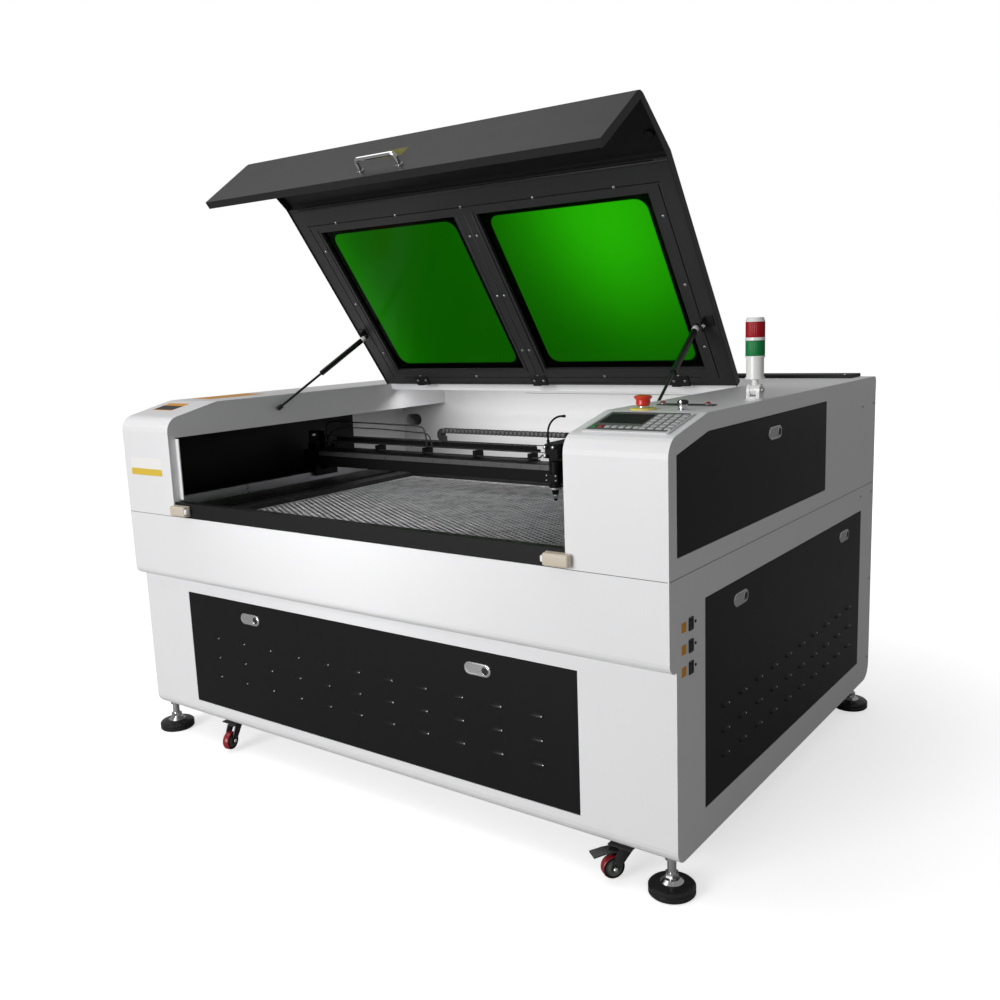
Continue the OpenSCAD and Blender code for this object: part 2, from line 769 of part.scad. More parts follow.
// -------------------------------------------------------------- front edge
module front_sill() color([0.14, 0.14, 0.14]) at_front() difference() {
    box([xl, sill_in, seam_z], [xr, sill_in + sill_d, seam_z + sill_h]);
    box([xl - 1, sill_in + sheet_t, seam_z - 1],
        [xr + 1, sill_in + sill_d - sheet_t, seam_z + sill_h - sheet_t]);
}

// Blocks on the ends of the sill that the closed lid clips to.
module lid_catches() color([0.80, 0.74, 0.63]) at_front() for (s = [-1, 1]) {
    inner = catch_x - catch_w;
    edge = s * min(catch_x, s > 0 ? xr : -xl);
    translate([0, 0, seam_z + catch_up]) linear_extrude(catch_h) polygon([
        [s * inner, 0], [s * inner, 3 - catch_proud], [s * (inner + 3), -catch_proud],
        [s * (catch_x - 12), -catch_proud], [s * catch_x, -3], [s * catch_x, 0]]);
    box([min(s * inner, edge), -1, seam_z + catch_up],
        [max(s * inner, edge), sill_in, seam_z + catch_up + catch_h]);
}

// ------------------------------------------------------------------- table
module table_frame() color([0.62, 0.62, 0.64]) at_front() {
    x0 = xm - table_w / 2;
    x1 = xm + table_w / 2;
    z0 = table_z - comb_drop - comb_t - 12;
    difference() {
        box([x0, table_y, z0], [x1, table_y + table_d, table_z]);
        box([x0 + bar_w, table_y + bar_w, table_z - comb_drop - comb_t],
            [x1 - bar_w, table_y + table_d - bar_w, table_z + 1]);
        for (i = [0:3], j = [0:2]) let (
            px = (table_w - 2 * bar_w) / 4, py = (table_d - 2 * bar_w) / 3)
            box([x0 + bar_w + i * px + 12, table_y + bar_w + j * py + 12, z0 - 1],
                [x0 + bar_w + (i + 1) * px - 12,
                 table_y + bar_w + (j + 1) * py - 12, table_z]);
    }
    for (x = [x0 + bar_w / 2, xm, x1 - bar_w / 2],
         y = [table_y + bar_w / 2, table_y + table_d - bar_w / 2])
        translate([x, y, well_z]) rod(26, z0 - well_z);
}

// Honeycomb panel: the cells run as shallow furrows across its face.
module honeycomb() color([0.45, 0.45, 0.46]) at_front() {
    x0 = xm - table_w / 2 + bar_w + comb_gap;
    x1 = xm + table_w / 2 - bar_w - comb_gap;
    y0 = table_y + bar_w + comb_gap;
    y1 = table_y + table_d - bar_w - comb_gap;
    top = table_z - comb_drop;
    n = 40;
    difference() {
        box([x0, y0, top - comb_t], [x1, y1, top]);
        for (i = [1:n - 1]) let (y = y0 + (y1 - y0) * i / n)
            box([x0 + 12, y - 3, top - 3], [x1 - 12, y + 3, top + 1]);
    }
}

// --------------------------------------------------------------------- lid
module lid_shell() color([0.12, 0.12, 0.13]) at_front() lid_pose() {
    outer = lid_points(0);
    inner = lid_points(lid_t);
    middle = lid_points(lid_t / 2);
    n = len(outer);
    difference() {
        along_x(lid_x0, lid_x1)
            polygon(concat(outer, [for (i = [n - 1:-1:0]) inner[i]]));
        for (s = [-1, 1]) translate([lid_xm + s * window_x,
                (window_y0 + window_y1) / 2, hinge_z - 10])
            linear_extrude(20) round_rect(window_w, window_d, window_r);
    }
    for (x = [lid_x0, lid_x1 - lid_t]) along_x(x, x + lid_t) {
        polygon(concat(
            [for (i = [1:n - 1]) middle[i]],
            [[lid_rear, hinge_z - side_edge], [break_y, hinge_z - side_edge],
             [flap_y + hem, bend_z - 14]]));
        polygon([[flap_y + lid_t / 2, bend_z - flap_h],
                 [flap_y + hem, bend_z - flap_h], [flap_y + hem, bend_z - 14],
                 middle[1]]);
    }
    box([lid_x0 + lid_t / 2, flap_y + lid_t / 2, bend_z - flap_h],
        [lid_x1 - lid_t / 2, flap_y + hem, bend_z - flap_h + lid_t]);
}

// Welded frame under the skin, with the panes' openings and their strips.
module lid_frame() color([0.15, 0.15, 0.16]) at_front() lid_pose() {
    x0 = lid_x0 + lid_t;
    x1 = lid_x1 - lid_t;
    front = break_y + 6;
    difference() {
        box([x0, front, frame_z], [x1, lid_rear, hinge_z - lid_t]);
        for (s = [-1, 1]) translate([lid_xm + s * window_x, 0, 0])
            box([-pane_w / 2, pane_y0, frame_z - 1],
                [pane_w / 2, pane_y1, hinge_z]);
        box([x0 + 40, front + 2, frame_z - 1], [x1 - 40, front + 5, frame_z + 9]);
        box([x0 + 40, front + 62, frame_z - 1], [x1 - 40, front + 65, frame_z + 9]);
        for (x = [x0 + seam_in, x1 - seam_in]) box([x - 1.5, front + 70, frame_z - 1],
                                                   [x + 1.5, pane_y1 + 22, frame_z + 9]);
        for (y = [22, 42]) box([x0 + 100, pane_y1 + y - 1.5, frame_z - 1],
                               [x1 - 100, pane_y1 + y + 1.5, frame_z + 9]);
    }
    for (s = [-1, 1]) translate([lid_xm + s * window_x, 0, 0]) difference() {
        box([-pane_w / 2, pane_y0, frame_z + 2],
            [pane_w / 2, pane_y1, hinge_z - lid_t - pane_t]);
        box([-pane_w / 2 + pane_strip, pane_y0 + pane_strip, frame_z],
            [pane_w / 2 - pane_strip, pane_y1 - pane_strip, hinge_z]);
    }
}

module lid_windows() color([0.02, 0.45, 0.05, 0.7]) at_front() lid_pose()
    for (s = [-1, 1]) translate([lid_xm + s * window_x, 0, 0])
        box([-pane_w / 2 + 1, pane_y0 + 1, hinge_z - lid_t - pane_t],
            [pane_w / 2 - 1, pane_y1 - 1, hinge_z - lid_t]);

// Bent rod on the flap.
module lid_handle() color([0.8, 0.8, 0.8]) at_front() lid_pose()
    translate([lid_xm + 5, flap_y, bend_z - flap_h + handle_up]) {
        r = 12;
        for (s = [-1, 1]) {
            translate([s * handle_w / 2, -handle_out + r, 0])
                rod_y(handle_dia, handle_out - r);
            translate([s * (handle_w / 2 - r), -handle_out + r, 0])
                rotate([0, 0, s > 0 ? -90 : 180])
                rotate_extrude(angle = 90) translate([r, 0]) circle(d = handle_dia);
            translate([s * handle_w / 2, -3, 0]) rod_y(handle_dia + 8, 3);
        }
        translate([-handle_w / 2 + r, -handle_out, 0])
            rod_x(handle_dia, handle_w - 2 * r);
    }

// Lid halves of the three hinges, and the plates that carry the struts.
module lid_brackets() color([0.06, 0.06, 0.06]) at_front() lid_pose() {
    for (x = hinge_xs) {
        difference() {
            union() {
                translate([x - hinge_w / 2, hinge_y, hinge_z])
                    rod_x(knuckle_d, hinge_w / 2 - slack);
                box([x - hinge_w / 2, lid_rear, frame_z - lid_leaf_t],
                    [x - slack, lid_rear + 3, hinge_z]);
            }
            translate([x - hinge_w / 2 - 1, hinge_y, hinge_z])
                rod_x(pin_d + 2 * fit, hinge_w / 2 + 1);
        }
        box([x - hinge_w / 2, hinge_y - lid_leaf_d, frame_z - lid_leaf_t],
            [x + hinge_w / 2, lid_rear, frame_z]);
    }
    for (s = [-1, 1]) {
        x = (s > 0 ? lid_x1 : lid_x0) - s * (strut_up_in - upper_stud_len);
        y0 = hinge_y - strut_up_fwd - bracket_w / 2;
        foot = s * (bracket_w - 6);
        box([min(x, x + s * bracket_t), y0, hinge_z - strut_up_drop - 9],
            [max(x, x + s * bracket_t), y0 + bracket_w, frame_z]);
        box([min(x, x + foot), y0, frame_z - bracket_t],
            [max(x, x + foot), y0 + bracket_w, frame_z]);
    }
}

// Fixed halves of the lid's hinges with their pins, the pins and leaves of the
// rear cover's hinges, and the lower ball studs of the gas struts.
module hinges_and_studs() color([0.06, 0.06, 0.06]) at_front() {
    for (s = [-1, 1]) {
        translate(low_ball(s)) rotate([0, s * 90, 0]) sphere(d = ball_dia);
        translate([min(low_ball(s)[0], low_ball(s)[0] + s * strut_low_in),
                   strut_low_y, strut_low_z]) rod_x(stud_dia, strut_low_in);
    }
    for (x = hinge_xs) {
        translate([x - hinge_w / 2, hinge_y, hinge_z]) rod_x(pin_d, hinge_w);
        translate([x + slack, hinge_y, hinge_z])
            rod_x(knuckle_d, hinge_w / 2 - slack);
        box([x + slack, hinge_y, body_h],
            [x + hinge_w / 2, deck_y + deck_leaf_d, body_h + deck_leaf_t]);
        box([x - hinge_w / 2, deck_y - 2, body_h],
            [x + hinge_w / 2, deck_y + deck_leaf_d, body_h + deck_leaf_t]);
    }
    for (x = cover_hinge_xs) {
        translate([x - 20, cover_pin_y, cover_pin_z]) rod_x(cover_pin, 40);
        translate([x + slack, cover_pin_y, cover_pin_z])
            rod_x(2 * (cover_pin_z - body_h), 20 - slack);
        box([x + slack, cover_pin_y, body_h], [x + 20, body_d, body_h + 1.5]);
    }
}

// -------------------------------------------------------------- gas struts
function low_ball(s) = [(s > 0 ? xr : xl) - s * strut_low_in,
                        strut_low_y, strut_low_z];
// Upper ball with the lid opened by the angle a.
function up_ball(s, a) = let (
    y = -strut_up_fwd, z = -strut_up_drop)
    [(s > 0 ? lid_x1 : lid_x0) - s * strut_up_in,
     hinge_y + y * cos(a) + z * sin(a), hinge_z - y * sin(a) + z * cos(a)];

module strut_rod(s) at_front() {
    a = low_ball(s);
    b = up_ball(s, lid_open);
    rod_len = norm(up_ball(s, 0) - a) - 40;
    difference() {
        from_to(a, b) union() {
            translate([0, 0, 8]) rod(strut_rod, rod_len);
            cylinder(d = ball_dia + 5, h = 12);
            sphere(d = ball_dia + 6);
        }
        translate(a) rotate([0, s * 90, 0]) {
            sphere(d = ball_dia + 2 * slack);
            rod(stud_dia + 4, 20);
        }
    }
}

module strut_cylinder(s) at_front() {
    a = low_ball(s);
    b = up_ball(s, lid_open);
    from_to(b, a) {
        difference() {
            union() {
                translate([0, 0, 22]) rod(strut_dia, strut_body - 22);
                translate([0, 0, 5]) rod(12, 18);
                sphere(d = 15);
            }
            translate([0, 0, 26]) rod(strut_dia - 4, strut_body - 34);
            translate([0, 0, 20]) rod(strut_rod + 2 * fit, strut_body);
        }
    }
    translate(b) rotate([0, s * 90, 0]) rod(upper_stud_dia, upper_stud_len - slack);
}

module strut_rod_left() color([0.85, 0.85, 0.85]) strut_rod(-1);
module strut_rod_right() color([0.85, 0.85, 0.85]) strut_rod(1);
module strut_cylinder_left() color([0.05, 0.05, 0.05]) strut_cylinder(-1);
module strut_cylinder_right() color([0.05, 0.05, 0.05]) strut_cylinder(1);

// ------------------------------------------------------------------- doors
// Latch plate with a bore for its button, drawn flat and facing +Z.
module latch(hole = 1) difference() {
    linear_extrude(latch_t) slot2d(latch_w, latch_h);
    translate([hole * (latch_w / 2 - latch_h / 2), 0, -1])
        rod(button_dia + 2 * fit, latch_t + 2);
}

module latch_button() translate([latch_w / 2 - latch_h / 2, 0, -6])
    rod(button_dia, latch_t + 7.5);

// Puts a latch on the front door (x) or on the right side (y, z).
module on_front(x) translate([x, recess, front_door_z + front_door_h - latch_drop])
    rotate([90, 0, 0]) children();
module on_side(y, z) translate([w2, y, z]) rotate([90, 0, 90]) children();

module louvres(n, pitch) for (i = [0:n - 1], j = [0:2])
    translate([(i - (n - 1) / 2) * pitch, (1 - j) * louvre_row])
        slot2d(louvre_w, louvre_h);

module front_door() color([0.1, 0.1, 0.1]) at_front() {
    x0 = -w2 + front_door_x;
    xc = x0 + front_door_w / 2;
    zc = front_door_z + front_door_h / 2;
    difference() {
        box([x0, recess, front_door_z],
            [x0 + front_door_w, recess + door_t, front_door_z + front_door_h]);
        difference() {
            box([x0 + sheet_t, recess + sheet_t, front_door_z + sheet_t],
                [x0 + front_door_w - sheet_t, recess + door_t + 1,
                 front_door_z + front_door_h - sheet_t]);
            front_corners(x0, front_door_w, front_door_z) door_boss();
        }
        front_corners(x0, front_door_w, front_door_z) door_bore();
        translate([xc, 0, zc - front_louvre_drop]) along_y(recess - 1, recess + sheet_t + 1)
            louvres(11, louvre_pitch);
        for (x = front_latch_x) on_front(x) translate([latch_w / 2 - latch_h / 2, 0, -9])
            rod(button_dia + 1, 12);
    }
    for (x = front_latch_x) on_front(x) latch();
}

module side_door(outline) {
    y = outline[0].x;
    w = outline[1].x - y;
    difference() {
        along_x(w2 - door_t, w2) polygon(outline);
        difference() {
            along_x(w2 - door_t - 1, w2 - sheet_t) polygon(inset(outline, sheet_t));
            side_corners(y, w, outline[0].y) door_boss();
        }
        side_corners(y, w, outline[0].y) door_bore();
    }
}

module upper_side_door() color([0.08, 0.08, 0.08]) at_front() {
    difference() {
        side_door(upper_door_corners);
        on_side(upper_latch[0], upper_latch[1])
            translate([latch_w / 2 - latch_h / 2, 0, -9]) rod(button_dia + 1, 12);
    }
    on_side(upper_latch[0], upper_latch[1]) latch();
}

module lower_side_door() color([0.08, 0.08, 0.08]) at_front() {
    difference() {
        side_door(side_door_outline);
        translate([0, side_door_y + side_door_w / 2,
                   side_door_z + side_door_h / 2 - side_louvre_drop])
            along_x(w2 - sheet_t - 1, w2 + 1) louvres(10, side_louvre_pitch);
        for (y = lower_latch_y) on_side(y, lower_latch_z)
            translate([latch_w / 2 - latch_h / 2, 0, -9]) rod(button_dia + 1, 12);
    }
    for (y = lower_latch_y) on_side(y, lower_latch_z) latch();
}

module front_button_left() color("black") at_front()
    on_front(front_latch_x[0]) latch_button();
module front_button_right() color("black") at_front()
    on_front(front_latch_x[1]) latch_button();
module upper_button() color("black") at_front()
    on_side(upper_latch[0], upper_latch[1]) latch_button();
module lower_button_front() color("black") at_front()
    on_side(lower_latch_y[0], lower_latch_z) latch_button();
module lower_button_rear() color("black") at_front()
    on_side(lower_latch_y[1], lower_latch_z) latch_button();

// ------------------------------------------------------------------ gantry
module y_rails() color([0.6, 0.6, 0.6]) at_front() for (s = [-1, 1])
    box([s * rail_x - rail_w / 2, 60, seam_z],
        [s * rail_x + rail_w / 2, rear_wall_y - 25, rail_top]);

// Beam with its end carriages, belt brackets, chain tray and second mirror.
module gantry_beam() color([0.07, 0.07, 0.07]) at_front() {
    y1 = beam_y + beam_d;
    top = beam_z + beam_h;
    box([-rail_x + 30, beam_y, beam_z], [rail_x - 30, y1, top]);
    for (s = [-1, 1]) translate([s * rail_x, 0, 0]) {
        difference() {
            box([-30, beam_y - 10, rail_top - 14], [30, y1 + 34, top]);
            box([-rail_w / 2 - slack, beam_y - 11, rail_top - 15],
                [rail_w / 2 + slack, y1 + 35, rail_top + slack]);
            box([-31, beam_y + 12, rail_top + 8], [31, y1 + 12, beam_z - 0]);
        }
        translate([0, belt_y - 5, belt_z]) rod_y(2 * pulley_r, 10);
        box([-20, belt_y + 5, top], [20, belt_y + 9, beam_path_z + 12]);
    }
    box([-rail_x - 20, beam_y + 4, top], [-rail_x + 20, beam_y + 26, top + 26]);
    translate([-rail_x, beam_y + 15, beam_path_z]) rotate([0, 0, 45])
        box([-17, -4, -27], [17, 4, 17]);
    for (x = [-rail_x + 60:215:80])
        box([x - 5, y1 - 12, top], [x + 5, y1 + 2, chain_low - 4]);
    difference() {
        box([-rail_x + 40, chain_y - 2.5, chain_low - 4],
            [80, chain_y + chain_w + 2.5, chain_low + 4]);
        box([-rail_x + 39, chain_y - 0.5, chain_low],
            [81, chain_y + chain_w + 0.5, chain_low + 5]);
    }
    chain_link_run(-rail_x + 60, 70, chain_low);
    box([-rail_x + 40, y1, top - 6], [80, chain_y + chain_w, top - 2]);
    for (x = [-rail_x + 60:215:80])
        box([x - 4, y1 + 4, top - 2], [x + 4, chain_y + chain_w - 4, chain_low - 4]);
}

// Linear guide of the laser head on the front of the beam.
module x_rail() color([0.7, 0.7, 0.7]) at_front()
    box([-rail_x + 50, beam_y - 12, beam_z + x_rail_up],
        [rail_x - 50, beam_y, beam_z + x_rail_up + 15]);

// Toothed belt between the pulleys at the ends of the beam.
module x_belt() color([0.03, 0.03, 0.03]) at_front() {
    r = pulley_r + belt_t;
    translate([0, 0, belt_z]) along_y(belt_y - 4, belt_y + 4) difference() {
        slot2d(2 * (rail_x + r), 2 * r);
        slot2d(2 * (rail_x + pulley_r), 2 * pulley_r);
    }
}

module chain_link_run(x0, x1, z) {
    n = max(1, round((x1 - x0) / 20));
    p = (x1 - x0) / n;
    box([x0, chain_y + 2, z + 2], [x1, chain_y + chain_w - 2, z + chain_h - 2]);
    for (i = [0:n - 1])
        box([x0 + i * p, chain_y, z], [x0 + (i + 1) * p - 5, chain_y + chain_w, z + chain_h]);
}

// Bend of the cable chain, which runs over the lower run in the tray.
module chain_bend() color([0.2, 0.2, 0.2]) at_front()
    translate([chain_x, chain_y + chain_w / 2, chain_low + chain_h + 1 + chain_h + bend_in])
    rotate([90, 0, 0]) rotate([0, 0, 90]) rotate_extrude(angle = 180)
    translate([bend_in, -chain_w / 2]) square([chain_h, chain_w]);

module chain_upper() color([0.2, 0.2, 0.2]) at_front()
    chain_link_run(chain_x, head_x - 36, chain_up);

// Head plate with its guide block, mirror box, lens clamp, chain arm and hose.
module carriage() color([0.08, 0.08, 0.08]) at_front() translate([head_x, 0, 0]) {
    h = head_w / 2;
    top = beam_path_z + 18;
    rail = beam_z + x_rail_up;
    difference() {
        box([-h, beam_y - 26, beam_z + 8], [h, beam_y - 4, rail + 27]);
        box([-h - 1, beam_y - 12 - slack, rail - slack],
            [h + 1, beam_y, rail + 15 + slack]);
    }
    box([-h, beam_y - 26, rail + 27], [h, beam_y - 20, top - 4]);
    box([-h, beam_y - 26, top - 4], [h, chain_y + chain_w, top]);
    box([-h - 3, chain_y, top], [-h + 24, chain_y + chain_w, chain_up + chain_h]);
    difference() {
        union() {
            box([-22, head_y - 22, beam_z + 14], [22, beam_y - 26, beam_z + 40]);
            box([-22, head_y - 18, beam_path_z - 24], [22, beam_y - 26, top]);
        }
        translate([0, head_y, beam_z]) rod(lens_dia + 2 * fit, beam_h);
        translate([-23, head_y, beam_path_z]) rod_x(16, 24);
        translate([0, head_y, beam_path_z - 25]) rod(16, 26);
    }
    translate([-21, head_y, top]) {
        rod(9, 10);
        rod(6, 29);
        translate([hose_r, 0, 29]) rotate([90, 0, 0]) rotate([0, 0, 90])
            rotate_extrude(angle = 90) translate([hose_r, 0]) circle(d = 6, $fn = 16);
        translate([hose_r, 0, 29 + hose_r]) rod_x(8, 9);
    }
}

// Lens tube with its cone and nozzle.
module lens_tube() color([0.1, 0.1, 0.1]) at_front()
    translate([head_x, head_y, 0]) {
        difference() {
            union() {
                translate([0, 0, nozzle_z + 40]) rod(lens_dia, 76);
                translate([0, 0, nozzle_z]) cylinder(d1 = 9, d2 = 26, h = 40);
            }
            translate([0, 0, nozzle_z - 1]) rod(4, 200);
        }
        translate([0, 0, nozzle_z + 40]) difference() {
            rod(lens_dia + 8, 8);
            translate([0, 0, -1]) rod(lens_dia - 2, 10);
        }
    }

// -------------------------------------------------------------- laser tube
module laser_tube() color([0.9, 0.85, 0.9]) at_front()
    translate([xm - tube_len / 2 + 60, tube_y, beam_path_z]) {
        rod_x(tube_dia, tube_len);
        for (x = [-tube_end, tube_len]) translate([x, 0, 0])
            rod_x(tube_dia * 0.45, tube_end);
    }

// Cradles of the tube and the first mirror behind the slot, together
// with the high-voltage supply and the controller on the cabinet's floor.
module inner_equipment() color([0.6, 0.61, 0.63]) at_front() {
    for (x = cradle_xs) difference() {
        union() {
            box([x - cradle_t / 2, tube_y - tube_dia / 2 - 10, seam_z],
                [x + cradle_t / 2, tube_y + tube_dia / 2 + 10, beam_path_z]);
            translate([x - cradle_t / 2, tube_y, beam_path_z])
                rod_x(tube_dia + 12, cradle_t);
        }
        translate([x - cradle_t / 2 - 1, tube_y, beam_path_z])
            rod_x(tube_dia + 2 * slack, cradle_t + 2);
        box([x - cradle_t, tube_y - tube_dia / 2 + 10, seam_z + 20],
            [x + cradle_t, tube_y + tube_dia / 2 - 10, beam_path_z - tube_dia / 2 - 20]);
    }
    translate([-rail_x - 16, tube_y, 0]) {
        box([-20, -20, seam_z], [20, 20, beam_path_z - 30]);
        translate([0, 0, beam_path_z]) rotate([0, 0, -45]) box([-26, -4, -40], [26, 4, 26]);
    }
    z = base_z + sheet_t;
    translate([w2 - 150 - supply_w, side_door_y + 128, z]) cube([supply_w, supply_d, supply_h]);
    translate([w2 - 130 - control_w, side_door_y + 528, z])
        cube([control_w, control_d, control_h]);
}

// ---------------------------------------------------------------- controls
module control_panel() color([0.75, 0.75, 0.76]) at_front() on_slope() {
    difference() {
        union() {
            translate([0, 0, 0.1]) linear_extrude(4) round_rect(panel_w, panel_d, 6);
            box([-panel_w / 2 + 10, -panel_d / 2 + 10, -7.8],
                [panel_w / 2 - 10, panel_d / 2 - 10, 0.2]);
        }
        box([-86, -18, 3], [20, 46, 6]);
    }
    for (i = [0:6]) box([-88 + i * 17, -48, 3], [-78 + i * 17, -38, 5.5]);
    for (i = [0:3], j = [0:5]) box([28 + i * 19, -50 + j * 17, 3],
                                   [42 + i * 19, -38 + j * 17, 5.5]);
}

// Collar of the emergency stop, key barrel, lamps, and the rockers' bezels.
module switch_frames() color([0.85, 0.8, 0.1]) at_front() {
    translate([xr + estop_x, estop_y, 0]) difference() {
        union() {
            translate([0, 0, body_h]) rod(estop_ring, 3);
            translate([0, 0, body_h - 30]) rod(22.4, 30);
        }
        translate([0, 0, body_h - 31]) rod(16 + 2 * fit, 50);
    }
    box([lamp_x[0] - 11, lamp_y - 14, body_h],
        [lamp_x[1] + 15, lamp_y + 14, body_h + 3]);
    for (x = lamp_x) translate([x, lamp_y, body_h]) {
        translate([0, 0, 3]) rod(11, 6);
        translate([0, 0, -20]) rod(16, 20);
    }
    translate(key_xy) difference() {
        union() {
            rod(24, 2);
            translate([0, 0, 2]) rod(19, 11);
            translate([0, 0, -24]) rod(16, 24);
        }
        translate([0, 0, -6]) rod(12 + 2 * fit, 30);
    }
    for (i = [0:2]) translate([0, rocker_y, rocker_z - i * rocker_pitch]) difference() {
        union() {
            box([w2, -10, -14], [w2 + 2, 10, 14]);
            box([w2 - 18, -6.9, -9.9], [w2, 6.9, 9.9]);
        }
        box([w2 - 19, -5.5, -8.5], [w2 + 3, 5.5, 8.5]);
    }
}

module estop_button() color([0.8, 0.1, 0.08]) at_front()
    translate([xr + estop_x, estop_y, body_h + 9.5]) {
        rotate_extrude() polygon([[0, 0], [14, 0], [16, 3], [16, 12], [estop_dia / 2 - 2, 15],
            [estop_dia / 2, 18], [estop_dia / 2 - 1, 21], [12, 23], [0, 23]]);
        translate([0, 0, -40]) rod(16, 40);
    }

module key() color([0.1, 0.1, 0.1]) at_front()
    translate(key_xy) {
        translate([0, 0, -5]) rod(12, 20);
        box([-12, -2, 15], [12, 2, 28]);
    }

// Rocker that tips about the middle of its bezel.
module rocker(i) color([0.05, 0.05, 0.05]) at_front()
    translate([w2 - 2, rocker_y, rocker_z - i * rocker_pitch]) rotate([90, 0, 0])
    translate([0, 0, -5.2]) linear_extrude(10.4) polygon([
        [0, -7], [3.8, -7.2], [3.2, 0], [5.2, 7.2], [0, 7], [-8, 3], [-8, -3]]);

module rocker_top() rocker(0);
module rocker_middle() rocker(1);
module rocker_bottom() rocker(2);

module tower_base() color([0.9, 0.9, 0.9]) at_front() translate([tower_x, tower_y, 0]) {
    translate([0, 0, body_h]) rod(44, 5);
    translate([0, 0, body_h - 20]) rod(19, 20);
    difference() {
        union() {
            box([-16, -14, body_h + 5], [16, 14, tower_pivot]);
            translate([-16, 0, tower_pivot]) rod_x(28, 32);
        }
        box([-8 - slack, -20, tower_pivot - 15], [8 + slack, 20, tower_pivot + 20]);
    }
    translate([-18, 0, tower_pivot]) rod_x(8, 36);
}

module tower_post() color([0.9, 0.9, 0.9]) at_front() translate([tower_x, tower_y, 0]) {
    z = tower_pivot;
    difference() {
        union() {
            translate([-8, 0, z]) rod_x(26, 16);
            translate([0, 0, z + 8]) rod(16, 20);
        }
        translate([-9, 0, z]) rod_x(8 + 2 * fit, 18);
    }
    translate([0, 0, z + 26]) rod(tower_dia, 4);
    translate([0, 0, z + 30]) rod(tower_dia - 5, 46);
    translate([0, 0, z + 76]) rod(tower_dia, 4);
    translate([0, 0, z + 80 + lens_h]) rod(tower_dia, 7);
    translate([0, 0, z + 87 + 2 * lens_h]) cylinder(d1 = tower_dia, d2 = tower_dia - 8, h = 10);
}

module tower_lenses() color([0.8, 0.1, 0.1]) at_front()
    translate([tower_x, tower_y, tower_pivot]) {
        translate([0, 0, 80]) rod(tower_dia - 1, lens_h);
        translate([0, 0, 87 + lens_h]) rod(tower_dia - 1, lens_h);
    }

// -------------------------------------------------------- back, feet, casters
module rear_panels() color([0.88, 0.88, 0.88]) at_front() {
    for (x = exhaust_x) translate([x, body_d, exhaust_z]) difference() {
        union() {
            rod_y(exhaust_dia + 2 * exhaust_flange, 2);
            rod_y(exhaust_dia, exhaust_len);
        }
        translate([0, -1, 0]) rod_y(exhaust_dia - 2 * sheet_t, exhaust_len + 2);
    }
    p2 = back_panel_w / 2;
    box([-p2, body_d, base_z + 44], [p2, body_d + 2, base_z + 44 + back_panel_h]);
    box([-p2, body_d, seam_z + back_margin], [p2, body_d + 2, body_h - back_margin]);
    translate([inlet_x, body_d, inlet_z]) difference() {
        box([-inlet_w / 2, 0, -inlet_h / 2], [inlet_w / 2, 12, inlet_h / 2]);
        box([-inlet_w / 2 + 10, 2, -inlet_h / 2 + 26], [inlet_w / 2 - 10, 13, inlet_h / 2 - 8]);
    }
}

module levelling_foot() {
    rotate_extrude() polygon([[0, 0], [foot_dia / 2 - 3, 0], [foot_dia / 2, 3],
        [foot_dia / 2, 9], [foot_dia / 2 - 1.5, 11], [foot_dia / 2, 13],
        [foot_dia / 2, 19], [foot_dia / 2 - 4, 23], [foot_dia / 4, foot_h - 7],
        [stem_dia / 2 + 8, foot_h], [0, foot_h]]);
    translate([0, 0, foot_h]) rod(stem_dia, base_z + 30 - foot_h);
    translate([0, 0, foot_h + 4]) cylinder(d = stem_dia + 12, h = 10, $fn = 6);
    translate([0, 0, base_z - 6]) rod(stem_dia + 10, 6);
}

module at_feet() for (s = [-1, 1], y = [foot_in_y, body_d - foot_in_y])
    translate([s * (w2 - foot_in_x), y, 0]) children();

module levelling_feet() color([0.15, 0.15, 0.15]) at_front() at_feet() levelling_foot();

// Caster drawn with its swivel on the Z axis and its wheel trailing to -Y.
module caster_spot(left, front) at_front()
    translate([left ? -w2 + caster_in_left : w2 - caster_in_right,
               front ? caster_in_y : body_d - caster_in_y, 0]) children();

module caster_at(left, front) caster_spot(left, front)
    rotate([0, 0, front ? (left ? swivel_fl : swivel_fr) : (left ? 150 : 200)])
    children();

// Plate with the raceway under which the fork swivels.
module caster_plate() difference() {
    union() {
        box([-30, -25, base_z - 3], [30, 25, base_z]);
        translate([0, 0, base_z - 8]) rod(42, 6);
    }
    translate([0, 0, base_z - 9]) rod(kingpin_dia + 2 * fit, 8);
}

module caster_plates() color([0.12, 0.12, 0.12])
    for (left = [true, false], front = [true, false])
        caster_spot(left, front) caster_plate();

module caster_fork(brake) {
    top = base_z - 2 - slack;
    ear = wheel_w / 2 + 1.5;
    translate([0, 0, top - 8]) rod(kingpin_dia, 8);
    difference() {
        union() {
            box([-ear - 3, -20, top - 9], [ear + 3, 18, top - 6]);
            for (s = [-1, 1]) translate([s * (ear + 1.5) - 1.5, 0, 0])
                along_x(0, 3) polygon([[-20, top - 6], [18, top - 6],
                    [-caster_trail + 9, axle_z - 5], [-caster_trail, axle_z - 10],
                    [-caster_trail - 9, axle_z - 5], [-caster_trail - 9, axle_z + 6]]);
        }
        translate([-40, -caster_trail, axle_z]) rod_x(wheel_bore - 1, 80);
    }
    translate([-ear - 6, -caster_trail, axle_z]) rod_x(wheel_bore - 2 * fit, 2 * ear + 12);
    for (s = [-1, 1]) translate([s * (ear + 4.5) - 1.5, -caster_trail, axle_z])
        rod_x(14, 3);
    if (brake) along_x(-16, 16) polygon([[-20, top - 6], [-20, top - 9],
        [-50, top - 10], [-80, top - 15], [-80, top - 11], [-50, top - 7]]);
}

